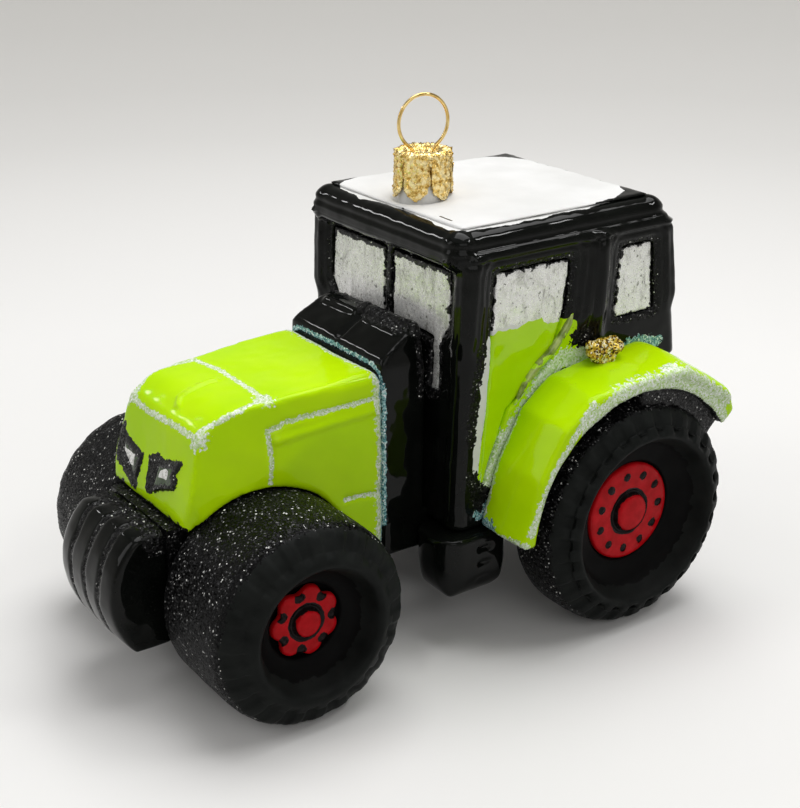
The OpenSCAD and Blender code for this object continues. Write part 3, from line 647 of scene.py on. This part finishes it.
def makeHood(s):
    bm = mould(cadBlank("hood"), 0.42, 5)
    sides = [s["sideUp"], s["sideAlong"], s["sideLow"]]
    sides += [otherSide(line) for line in sides]
    pressLines(bm, sides, 0.9, 0.3)
    steps = [s["sideStep"], otherSide(s["sideStep"])]
    pressLines(bm, steps, 1.1, -0.3)
    pressLines(bm, [s["leaf"]], 0.75, -0.5)
    joins = [s["join"], otherSide(s["join"])]
    paintLines(bm, "white", [s["noseTop"], s["across"]] + joins, 0.5)
    paintLines(bm, "white", sides, 0.42)
    paintLines(bm, "white", [s["rearEdge"], otherSide(s["rearEdge"])], 1.3)
    paintLines(bm, "teal", [s["rearEdge"], otherSide(s["rearEdge"])], 0.3)
    paintLines(bm, "white", s["blobs"], 1.4)
    black = paintField(bm, "black")
    foot = min(v.co.z for v in bm.verts if v.co.y < -38)
    for v in bm.verts:
        if v.co.y < -35 and v.normal.y < -0.3:
            far = max(outlineFar(v.co.x, v.co.z, outline) for outline in lampSet["outlines"])
            ragged = foot + 0.95 + noise.noise(v.co * 0.6) - v.co.z
            v[black] = clamp(0.5 + 0.8 * max(far, ragged))
    roughen(bm, "white", 0.12, 5)
    roughen(bm, "black", 0.12, 6)
    finishPiece(bm, "hoodShell", limePaint, ["hood"])


makeHood(hoodSet)

# headlamps: a silver spot in green, edged with black glitter


def makeHeadlamps(s):
    bm = mould(cadBlank("headlamps"), 0.22, 4)
    black = paintField(bm, "black")
    silver = paintField(bm, "silver")
    for v in bm.verts:
        side = 0 if v.co.x < 0 else 1
        far = outlineFar(v.co.x, v.co.z, s["outlines"][side])
        v[black] = clamp(0.5 + 0.7 * (1.1 - far))
        v[silver] = clamp(0.5 + 1.2 * outlineFar(v.co.x, v.co.z, s["spots"][side]))
        v.co.y += 0.3 + 0.9 * ease(0.5, -0.3, far)
    roughen(bm, "black", 0.14, 3)
    finishPiece(bm, "headlampPatches", lampPaint, ["headlamps"])


makeHeadlamps(lampSet)

# front weights: four slabs in one skin, glitter in the grooves and under the nose

weightSet = {"slabs": 4, "gap": 0.7}


def makeWeights(s):
    bm = mould(hullBlank("front_weights"), 0.3, 12)
    lo, hi = [c * 1000 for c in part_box("front_weights")]
    for v in bm.verts:
        end = min(1, abs(v.co.x) / hi.x) ** 4
        v.co.y += 0.6 * end * ease(hi.y - 2, lo.y, v.co.y)
        v.co.z -= 0.6 * end * ease(hi.z - 6, hi.z, v.co.z)
    bm.normal_update()
    layer = paintField(bm, "black")
    pitch = (hi.x - lo.x + s["gap"]) / s["slabs"]
    moves = []
    for v in bm.verts:
        drift = 0.5 * noise.noise(v.co * 0.3)
        nearest = min(abs(v.co.x + drift - (lo.x + i * pitch - s["gap"] / 2)) for i in range(1, s["slabs"]))
        back = hi.y - 3.6 + 1.6 * noise.noise(v.co * 0.35)
        band = 0.5 + (v.co.y - back) * 0.5 if v.co.z > hi.z - 4 else 0
        v[layer] = clamp(max(1 - 0.5 * nearest / 0.55, band))
        moves.append((v, 0.3 * ease(1.0, 0, nearest)))
    for v, d in moves:
        v.co -= v.normal * d
    bm.normal_update()
    roughen(bm, "black", 0.3, 9)
    finishPiece(bm, "weightBlock", blackPaint, ["front_weights"])


makeWeights(weightSet)

# cowl: black block with moulded ridges, teal glitter along the hood

cowlSet = {
    "ridges": [[(-10.5, -1.2, 53.2), (-1.8, -1.2, 53.6)], [(1.8, -1.2, 53.6), (10.5, -1.2, 53.2)]],
    "groove": [(0, -5.6, 50.6), (0, 1.2, 54)],
    "bead": [(-1, 0.6, 53.6), (4, 0.4, 53.5), (9, 0.6, 53.5), (11.5, 0.9, 53.2)],
    "hoodEdge": [(14.1, -6.3, 20.5), (14.1, -6.3, 43), (14.0, -6.3, 45.5), (13.1, -6.3, 48),
                 (11.3, -6.3, 48.9), (0, -6.3, 49)],
    "glassEdge": [(-12.6, 1.7, 53.9), (0, 1.7, 54), (12.6, 1.7, 53.9), (14, 1.7, 50), (14.1, 1.7, 43)],
}


def makeCowl(s):
    bm = mould(cadBlank("cowl"), 0.42, 4)
    pressLines(bm, s["ridges"], 1.4, -0.5)
    pressLines(bm, [s["groove"]], 0.8, 0.5)
    paintLines(bm, "teal", [s["hoodEdge"], otherSide(s["hoodEdge"])], 0.4)
    paintLines(bm, "black", [s["glassEdge"], otherSide(s["glassEdge"])], 1.2)
    pressLines(bm, [s["bead"]], 2.0, -0.9)
    paintLines(bm, "black", [s["bead"]], 1.7)
    roughen(bm, "black", 0.25, 21)
    roughen(bm, "teal", 0.15, 22)
    finishPiece(bm, "cowlBlock", blackPaint, ["cowl"])


makeCowl(cowlSet)
print("front end moulded")

# cab: walls, posts and roof roll in one black skin, stepped round the windows

cabSet = {
    "door": [(10.0, 63.6), (25.2, 63.6), (24.4, 55.2), (21.8, 46.6), (12.8, 40.0), (7.4, 25.5),
             (10.0, 63.6)],
    "quarter": [(36.8, 63.6), (43.6, 63.6), (44.6, 51.5), (35.8, 51.5), (36.8, 63.6)],
    "pane": [(1.2, 63.8), (17.0, 63.8), (17.0, 54.5), (15.3, 52.4), (15.3, 43.0), (13.1, 43.0),
             (13.1, 52.0), (1.2, 52.0), (1.2, 63.8)],
    "rearPane": [(-16, 63.6), (16, 63.6), (16, 51.5), (-16, 51.5), (-16, 63.6)],
    "limeBehind": [(26.6, 53.2), (24.0, 53.6), (21.0, 47.0), (12.0, 40.6), (7.6, 29.0), (8.6, 28.0),
                   (12, 33), (16, 39.6), (21, 44.6), (28.6, 45.6), (27.4, 48.2)],
    "limeAhead": [(8.9, 53.6), (10.2, 53.8), (9.4, 40), (8.4, 29.5), (7.6, 28.0), (6.5, 29.1),
                  (7.4, 36.4), (8.1, 39.9), (8.7, 48.6)],
    "reflectionStrip": [(8.7, 53.9), (7.8, 52.2), (7.4, 49.0), (6.6, 45.7), (7.1, 43.6), (6.2, 40.5), (5.8, 36.1),
             (5.5, 29.5), (6.1, 28.4), (6.6, 29.4), (7.4, 36.4), (8.1, 39.9), (8.7, 48.6), (9.0, 53.3)],
    "ragged": [(7.2, 52), (6.6, 48.5), (5.8, 45), (5.6, 40.5), (5.2, 36)],
    "inner": [(28.6, 46.3), (24.6, 46.7), (21.9, 45.2), (19.2, 42.8), (17.2, 39.7), (14.6, 37.1),
              (12.2, 34.5), (10.4, 32.6), (8.4, 28.7)],
    "blob": [(27.0, 50.0), (29.0, 49.8)],
    "tealTop": [(39.1, 46.3), (41.4, 46.4), (46.0, 45.5)],
    "corner": [(5.4, 30), (6.4, 27), (7.2, 24.4), (8, 26.6)],
    "tealFoot": [(7.4, 23), (8.6, 24)],
    "roof": [(19.3, 6), (19.6, 16), (19.2, 31), (18.3, 38), (16, 42.4), (12, 44.2), (-12, 44.4),
             (-17, 42), (-19, 36), (-19.3, 16), (-17.6, 7), (-15.2, 5.1), (-8, 4.2), (-1.1, 5.4),
             (11, 4.8), (17, 3.9), (18.8, 4.5)],
}
cabNodes = ["cab_front_frame", "cab_side_left", "cab_side_right", "cab_rear_frame",
            "front_post_left", "front_post_right", "rear_post_left", "rear_post_right",
            "roof_rim_front", "roof_rim_rear", "roof_rim_left", "roof_rim_right"]


def frontY(z):  # the front wall leans back towards the roof
    return 2.4 + 2.0 * (z - 20.2) / 47.4


def rearY(z):
    return 51.0 - 3.4 * (z - 42) / 25.6


def roofFar(outline, place):  # the white's edge wanders a little
    return outlineFar(place.x, place.y, outline) + 0.5 * noise.noise(Vector((place.x, place.y, 0)) * 0.3)


def makeCab(s):
    bm = mould(cadBlank(*cabNodes), 0.42, 4)
    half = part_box("front_post_left")[1].x * 1000
    onSide = {key: [(half, y, z) for y, z in line] for key, line in s.items() if key != "roof"}
    lines = [onSide["door"], onSide["quarter"]]
    front = [(x, frontY(z), z) for x, z in s["pane"]]
    lines += [otherSide(line) for line in lines]
    lines += [front, otherSide(front), [(x, rearY(z), z) for x, z in s["rearPane"]]]
    loop = [(0, 1), (18.5, 1), (21, 2.5), (22.5, 5), (22.5, 45), (21, 47.5), (18.5, 49), (0, 49)]
    loop += [(-x, y) for x, y in loop[-2::-1]]
    pressLines(bm, [[(x, y, z) for x, y in loop] for z in (66.2, 68.6)], 0.9, 0.35)
    near = nearTree(bm, lines, False)
    moves = []
    for v in bm.verts:
        far = near.find(v.co)[2]
        nested = ease(1.0, 1.5, far) * 0.35 + ease(2.4, 2.8, far) * 0.35 + ease(3.8, 4.2, far) * 0.3
        if v.co.z > 50 and far < 6.5 and v.co.z < 67:
            moves.append((v, (nested * 1.2 - 0.4) * ease(6.5, 5.4, far) * ease(50, 54, v.co.z)))
    for v, d in moves:
        v.co += v.normal * d
    bm.normal_update()
    strokes = [("inner", "white", 1.7), ("blob", "black", 1.6), ("ragged", "black", 0.9),
               ("corner", "black", 1.2), ("tealTop", "teal", 1.0), ("tealFoot", "teal", 1.3)]
    for key, field, wide in strokes:
        paintLines(bm, field, [onSide[key], otherSide(onSide[key])], wide)
    black, lime, roof = paintField(bm, "black"), paintField(bm, "lime"), paintField(bm, "roof")
    for v in bm.verts:
        edge = 1 - 0.5 * near.find(v.co)[2] / 1.15
        if abs(v.co.x) > half - 2.6 and v.co.z < 55 and v.co.y < 30:
            green = max(outlineFar(v.co.y, v.co.z, s[key]) for key in ("limeBehind", "limeAhead"))
            v[lime] = clamp(0.5 + 1.2 * green)
            # the strip of unpainted glass at the door's front edge is painted white: a painted reflection
            v[roof] = clamp(0.5 + 1.2 * outlineFar(v.co.y, v.co.z, s["reflectionStrip"]))
            edge -= 2 * max(v[lime], v[roof]) + 1.5 * ease(54.6, 53.6, v.co.z)
        v[black] = clamp(max(v[black], edge))
        if v.co.z > 69:
            v[roof] = clamp(0.5 + 0.7 * roofFar(s["roof"], v.co))
    roughen(bm, "black", 0.2, 31)
    finishPiece(bm, "cabShell", blackPaint, cabNodes)


makeCab(cabSet)
# tub: the plain lower body between the rear wheels
finishPiece(mould(cadBlank("cab_tub"), 0.5, 14), "cabTub", blackPaint, ["cab_tub"])

# roof panel: white, slightly domed, its edge spread into the rim

roofSet = {"spread": 1.04, "crown": 0.9, "streak": 0.25}


def makeRoof(s):
    bm = cadBlank("roof_panel")
    lo, hi = [c * 1000 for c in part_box("roof_panel")]
    middle = (lo + hi) / 2
    for v in bm.verts:
        v.co.x = middle.x + (v.co.x - middle.x) * s["spread"]
        v.co.y = middle.y + (v.co.y - middle.y) * s["spread"]
    bm = mould(bm, 0.45, 3)
    worn, rim = paintField(bm, "worn"), paintField(bm, "rim")
    streak = nearTree(bm, [[(11.5, lo.y + 0.7, hi.z), (14.5, lo.y + 0.6, hi.z)]], False)
    for v in bm.verts:
        u = 2 * (v.co.x - lo.x) / (hi.x - lo.x) - 1
        t = 2 * (v.co.y - lo.y) / (hi.y - lo.y) - 1
        if v.normal.z > 0.3:
            v.co.z += s["crown"] * (1 - u * u) * (1 - t * t)
        v[rim] = clamp(0.5 - 0.7 * roofFar(cabSet["roof"], v.co))
        v[worn] = clamp(1 - 0.5 * streak.find(v.co)[2] / s["streak"])
    finishPiece(bm, "roofPanel", roofPaint, ["roof_panel"])


makeRoof(roofSet)

# panes: silvered glass, uneven; the doors are lime below, with a white strip at the front edge: unpainted
# glass whose white is a painted reflection of the white surroundings

doorSet = {
    "lip": [(9.1, 53.7), (11.2, 54.0), (14.6, 53.8), (16.5, 54.4), (19.7, 54.7), (21.1, 53.1),
            (23.3, 53.1), (26.0, 53.0)],
    "reflectionAboveLip": 0.55,
}


def heightOn(line, y):
    for (y0, z0), (y1, z1) in zip(line, line[1:]):
        if y <= y1:
            return z0 + (z1 - z0) * max(0, (y - y0) / (y1 - y0))
    return line[-1][1]


def makeDoor(s):
    bm = mould(cadBlank("door_window_left", "door_panel_left"), 0.3, 2)
    lime, reflectionStrip, black = paintField(bm, "lime"), paintField(bm, "reflectionStrip"), paintField(bm, "black")
    for v in bm.verts:
        glass = outlineFar(v.co.y, v.co.z, cabSet["door"])
        edge = 0.2 + 0.7 * noise.noise(v.co * 0.6) - glass
        v[black] = clamp(0.5 + 0.8 * (edge if v.co.z > 54.4 else 28.2 - v.co.z))
        below = heightOn(s["lip"], v.co.y) + 0.4 * noise.noise(v.co * 0.9) - v.co.z
        v[lime] = clamp(0.5 + 0.6 * below)
        # white just above the lime lip at the door's front: a painted reflection on unpainted glass
        v[reflectionStrip] = clamp(0.5 + 0.6 * min(below + s["reflectionAboveLip"], (16 - v.co.y) * 0.4))
        v.co += v.normal * 0.12 * noise.noise(v.co * 0.35)
    finishPair(bm, "door", doorPaint, ["door_window", "door_panel"])


paneNames = {"windscreen": "windscreenPanes", "quarter_window_left": "quarterPaneLeft",
             "quarter_window_right": "quarterPaneRight", "rear_window": "rearPane"}


def makePanes():
    for name, pieceName in paneNames.items():
        bm = mould(cadBlank(name), 0.3, 2)
        black = paintField(bm, "black")
        for v in bm.verts:
            x, y, z = v.co
            thick = 0.2
            if name == "windscreen":
                far = max(outlineFar(x, z, cabSet["pane"]), outlineFar(-x, z, cabSet["pane"]))
                thick = 0.3 + 0.7 * ease(60, 63.5, z) if z > 53.4 else 0.1
            elif name == "rear_window":
                far = outlineFar(x, z, cabSet["rearPane"])
            else:
                far = outlineFar(y, z, cabSet["quarter"])
            v[black] = clamp(0.5 + 0.8 * (thick + 0.7 * noise.noise(v.co * 0.6) - far))
            v.co += v.normal * 0.2 * noise.noise(v.co * 0.3)
        roughen(bm, "black", 0.25, 51)
        finishPiece(bm, pieceName, panePaint, [name])


makeDoor(doorSet)
makePanes()

# rail: a clear glass ridge along the door's rear edge, olive where the lime shows through, its crest white
# with glitter and a painted highlight

railSet = {"path": [(26.2, 54.6), (25.3, 52.6), (23.6, 50.4), (21.6, 48.3), (19.2, 46.7), (17.3, 44.8),
                    (15.6, 42.6), (14.2, 40.6)],
           "wide": 0.8, "high": 0.65, "x": 22.2}


def tubeAlong(path, radius, tips=None):
    wire = bpy.data.curves.new("path", "CURVE")
    wire.dimensions = "3D"
    wire.bevel_depth = radius
    wire.bevel_resolution = 5
    wire.use_fill_caps = True
    line = wire.splines.new("POLY")
    line.points.add(len(path) - 1)
    for i, (point, place) in enumerate(zip(line.points, path)):
        point.co = (*place, 1)
        point.radius = 1.0 if tips is None else tips(i / (len(path) - 1))
    obj = bpy.data.objects.new("path", wire)
    scene.collection.objects.link(obj)
    shown = obj.evaluated_get(bpy.context.evaluated_depsgraph_get())
    mesh = bpy.data.meshes.new_from_object(shown)
    bm = bmesh.new()
    bm.from_mesh(mesh)
    bmesh.ops.remove_doubles(bm, verts=bm.verts, dist=0.0005)
    bmesh.ops.recalc_face_normals(bm, faces=bm.faces)
    bpy.data.objects.remove(obj)
    bpy.data.curves.remove(wire)
    bpy.data.meshes.remove(mesh)
    return bm


def makeRails(s):
    path = walk([(0, y, z) for y, z in s["path"]], 0.35)
    bm = tubeAlong(path, s["wide"], lambda t: 0.35 + 0.65 * ease(0, 0.15, t) * ease(1, 0.8, t))
    bmesh.ops.scale(bm, vec=(s["high"] / s["wide"], 1, 1), verts=bm.verts)
    soften(bm, 2)
    lime, white = paintField(bm, "lime"), paintField(bm, "white")
    glitterAndHighlightCrest = nearTree(bm, [[(0.6, y + 0.5, z - 0.45) for y, z in s["path"]]])
    for v in bm.verts:
        v[lime] = clamp(0.42 + 0.5 * noise.noise(v.co * 0.5))
        # white along the crest: glitter, and a painted highlight on the glass ridge, stronger lower down
        v[white] = clamp(0.8 - glitterAndHighlightCrest.find(v.co)[2] / 0.7 - 0.04 * (v.co.z - 44))
    bmesh.ops.translate(bm, vec=(s["x"], 0, 0), verts=bm.verts)
    bm.normal_update()
    finishPair(bm, "doorRail", railPaint, [])


makeRails(railSet)
print("cab moulded and glazed")

# fenders: soft arches with a broad glitter edge

fenderSet = {
    "band": 2.4,
    "arch": [(34.6, 20.6, 43.2), (34.6, 18.4, 40.6), (34.6, 15.7, 37.0), (34.6, 12.5, 32.7),
             (34.6, 10.6, 28.5), (34.6, 8.4, 23.4)],
    "inner": [(22.6, 27.4, 45), (22.6, 24.3, 44.6), (22.6, 20.9, 43.4), (22.8, 18.2, 41.5),
              (22.8, 15.3, 39.4), (22.8, 13.0, 36.0), (22.8, 11.0, 32.6), (22.8, 9.2, 28.6),
              (22.8, 8.0, 24.6), (22.8, 7.2, 21.4)],
    "foot": [(22.8, 7.2, 21.2), (28, 7.2, 21.0), (34.2, 7.4, 21.4)],
    "teal": [(23.2, 7.2, 21.4), (25.6, 7.0, 21.0)],
    "lift": 1.1, "crown": 0.5, "tail": 1.7,
}


def makeFender(s):
    bm = mould(cadBlank("fender_left"), 0.4, 12)
    lo, hi = [c * 1000 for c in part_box("fender_left")]
    for v in bm.verts:
        t = (v.co.x - lo.x) / (hi.x - lo.x)
        v.co.z += s["lift"] * (1 - t) * ease(30, 42, v.co.z)
        crown = math.sin(math.pi * clamp(t))
        v.co += v.normal * s["crown"] * crown * ease(0.2, 0.7, v.normal.z - v.normal.y * 0.6)
        tail = ease(34, 42, v.co.y) * ease(53.6, 50, v.co.y)
        v.co += v.normal * s["tail"] * tail * ease(0.1, 0.5, v.normal.z)
    bm.normal_update()
    paintLines(bm, "white", [s["arch"]], 0.7)
    white = paintField(bm, "white")
    tyreLow, tyreHigh = [c * 1000 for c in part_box("rear_tyre_left")]
    axle = (tyreLow + tyreHigh) / 2
    under = [v.co for v in bm.verts if v.co.x > 31 and v.normal.dot((axle - v.co).normalized()) > 0.3]
    near = kdtree.KDTree(len(under))
    for i, p in enumerate(under):
        near.insert((0, p.y, p.z), i)
    near.balance()
    for v in bm.verts:
        if v.co.x > hi.x - 2.2 and v.co.y > 18.5:
            far = near.find((0, v.co.y, v.co.z))[2]
            reach = s["band"] - 0.9 * ease(36, 46, v.co.y)
            v[white] = clamp(max(v[white], 0.5 + 0.4 * (reach - far)))
    paintLines(bm, "white", [s["inner"], s["foot"]], 0.8)
    paintLines(bm, "teal", [s["teal"]], 1.5)
    black = paintField(bm, "black")
    for v in bm.verts:
        toAxle = v.normal.dot((axle - v.co).normalized())
        v[black] = clamp(0.5 + 3 * (toAxle - 0.45)) if v.co.x < hi.x - 0.5 else 0
    roughen(bm, "white", 0.16, 41)
    finishPair(bm, "fender", limePaint, ["fender"])


makeFender(fenderSet)

# webs: the glass is closed between each rear tyre and its fender's tail

webSet = {"inside": 24.5, "outside": 33.2, "turn": -1.4, "sink": 0.7, "end": 0.4}


def makeWebs(s):
    lo, hi = [c * 1000 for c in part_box("rear_tyre_left")]
    axle, r = (lo + hi) / 2, (hi.z - lo.z) / 2 - s["sink"]
    arch = BVHTree.FromBMesh(cadBlank("fender_left"))
    bm = bmesh.new()
    corners = [(s["inside"], r), (s["outside"], r), (s["outside"], r + 2), (s["inside"], r + 2)]
    ring = [bm.verts.new((a, 0, rr)) for a, rr in corners]
    edges = [bm.edges.new((ring[i - 1], ring[i])) for i in range(4)]
    bmesh.ops.spin(bm, geom=ring + edges, cent=(0, 0, 0), axis=(1, 0, 0), angle=s["turn"], steps=42)
    bmesh.ops.holes_fill(bm, edges=bm.edges)
    bmesh.ops.recalc_face_normals(bm, faces=bm.faces)
    for v in bm.verts:
        out = Vector((0, v.co.y, v.co.z))
        if out.length > r + 1:
            out.normalize()
            hit = arch.ray_cast(Vector((v.co.x, axle.y, axle.z)), out)[3]
            v.co = Vector((v.co.x, 0, 0)) + out * (hit + s["sink"] if hit else r + s["end"])
    bmesh.ops.translate(bm, vec=(0, axle.y, axle.z), verts=bm.verts)
    bm = mould(bm, 0.4, 4)
    finishPair(bm, "fenderWeb", blackFlakes, [])


makeWebs(webSet)


def makeLampLumps():  # one uneven lump of gold glitter on each fender
    bm = mould(hullBlank("fender_lamp_left"), 0.22, 8)
    for v in bm.verts:
        v.co += v.normal * (0.7 * noise.noise(v.co * 0.55) - 0.35 + 0.25 * (grainAt(v.co, 17) - 0.5))
    finishPair(bm, "goldLamp", goldFlakes, ["fender_lamp"])


makeLampLumps()

# steps: rounded black blocks, ribbed on the outside; the skirt closes the belly between them

stepSet = {"tuck": 0.1, "sag": 0.8}
skirtSet = {"low": (-14.1, -6.4, 15.0), "high": (14.1, 8, 22)}


def makeSteps(s):
    bm = mould(cadBlank("step_left"), 0.3, 5)
    lo, hi = [c * 1000 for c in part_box("step_left")]
    middle = (lo + hi) / 2
    for v in bm.verts:
        tuck = 1 - s["tuck"] * ease(middle.z + 1, lo.z, v.co.z) ** 1.5
        v.co.x = middle.x + (v.co.x - middle.x) * tuck
        v.co.y = middle.y + (v.co.y - middle.y) * tuck
        v.co.z -= s["sag"] * ease(middle.z, lo.z, v.co.z)
    soften(bm, 6)
    finishPair(bm, "step", blackPaint, ["step"])


def makeSkirt(s):
    bm = bmesh.new()
    bmesh.ops.create_cube(bm, size=1)
    low, high = Vector(s["low"]), Vector(s["high"])
    bmesh.ops.scale(bm, vec=high - low, verts=bm.verts)
    bmesh.ops.translate(bm, vec=(low + high) / 2, verts=bm.verts)
    bm = mould(bm, 0.4, 10)
    finishPiece(bm, "bellySkirt", blackPaint, [])


makeSkirt(skirtSet)
makeSteps(stepSet)
print("fenders and steps moulded")

# cap: spun skirt with pointed petals, crinkled like embossed foil; hanger: one bent wire

hangerSet = {"loop": 4.6, "wire": 0.3, "open": 30, "turn": -7}
capSet = {"petals": 6, "turn": 21.5, "sheet": 0.35, "crinkle": 0.3, "notch": 1.75, "slit": 6.0, "leg": 2.05,
          "legHole": 0.55, "rim": 4.85, "hole": 2.95, "dish": 0.7}


def makeCap(s):
    lo, hi = [c * 1000 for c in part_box("cap")]
    h = hi.z - lo.z
    foot, top, dish = (hi.y - lo.y) / 2 - 0.18, s["rim"], h - s["dish"]
    section = [(foot + (top - foot) * t / 54, h * t / 54 * 0.93) for t in range(55)]
    section += [(top - 0.15, h * 0.965), (top - 0.4, h - 0.1), (4.2, h), (3.9, h), (3.6, h),
                (3.3, h - 0.05), (3.1, h - 0.2), (s["hole"], h - 0.6)]
    section += [(2.6 - i * 0.2, dish) for i in range(13)]
    bm = spun([(rr, 0, z) for rr, z in section], (0, 0, 1), 300)
    step = 2 * math.pi / s["petals"]
    for v in bm.verts:
        turn = math.atan2(v.co.y, v.co.x) + math.radians(s["turn"])
        off = abs((turn / step) % 1 - 0.5) * 2  # 0 in a petal's middle, 1 at a slit
        edge = s["notch"] * off + (s["slit"] - s["notch"]) * ease(0.86, 0.92, off)
        if v.co.z < h * 0.9:
            v.co.z = edge + (h * 0.93 - edge) * v.co.z / (h * 0.93)
            puff = 1 + 0.09 * (0.4 - off ** 3) * ease(h * 0.75, h * 0.15, v.co.z)
            v.co.x *= puff
            v.co.y *= puff
    a = math.radians(hangerSet["turn"])
    legs = [Vector((-k * math.sin(a), k * math.cos(a), dish)) for k in (-s["leg"], s["leg"])]
    middles = {f: f.calc_center_median() for f in bm.faces}
    holes = [f for f, m in middles.items() if min((m - leg).length for leg in legs) < s["legHole"]]
    bmesh.ops.delete(bm, geom=holes, context="FACES")
    bmesh.ops.recalc_face_normals(bm, faces=bm.faces)
    bm.normal_update()
    for v in bm.verts:
        fold = noise.noise(v.co * 1.5) + 0.8 * noise.noise(v.co * 2.9)
        deep = s["crinkle"] * (1 + 0.5 * ease(h * 0.7, h * 0.85, v.co.z))
        v.co += v.normal * deep * (abs(fold) - 0.5)
    bm = throughModifier(bm, "SOLIDIFY", thickness=s["sheet"], offset=-1)
    bmesh.ops.translate(bm, vec=(0, (lo.y + hi.y) / 2, lo.z), verts=bm.verts)
    for v in bm.verts:
        v.co.z = min(v.co.z, hi.z)
    finishPiece(bm, "crownCap", capGold, ["cap"], "cap")


makeCap(capSet)


def makeHanger(s):
    lo, hi = [c * 1000 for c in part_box("hanger")]
    cy, cz = (lo.y + hi.y) / 2, hi.z - s["loop"] - s["wire"]
    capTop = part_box("cap")[1].z * 1000
    turns = [math.radians(s["open"] + i * (360 - 2 * s["open"]) / 72) for i in range(73)]
    path = [(s["loop"] * math.sin(t), cz - s["loop"] * math.cos(t)) for t in turns]
    side, low = path[0]
    legs = [(side - 0.2, low - 0.4), (side - 0.4, capTop - 1), (side - 0.2, capTop - 4),
            (side + 0.2, lo.z + 0.4)]
    path = legs[::-1] + path + [(-y, z) for y, z in legs]
    a = math.radians(s["turn"])
    bm = tubeAlong([(-y * math.sin(a), cy + y * math.cos(a), z) for y, z in path], s["wire"])
    finishPiece(bm, "wireHanger", wireGold, ["hanger"], "hanger")


makeHanger(hangerSet)
print("cap and hanger made")

# solids that keep their shape take the paint of what is round them

plain = {"chassis": blackFlakes, "front_axle": blackPaint, "rear_axle": blackPaint, "neck": roofPaint}
for name, look in plain.items():
    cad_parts[name].data.materials.clear()
    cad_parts[name].data.materials.append(look)

print("all pieces placed")
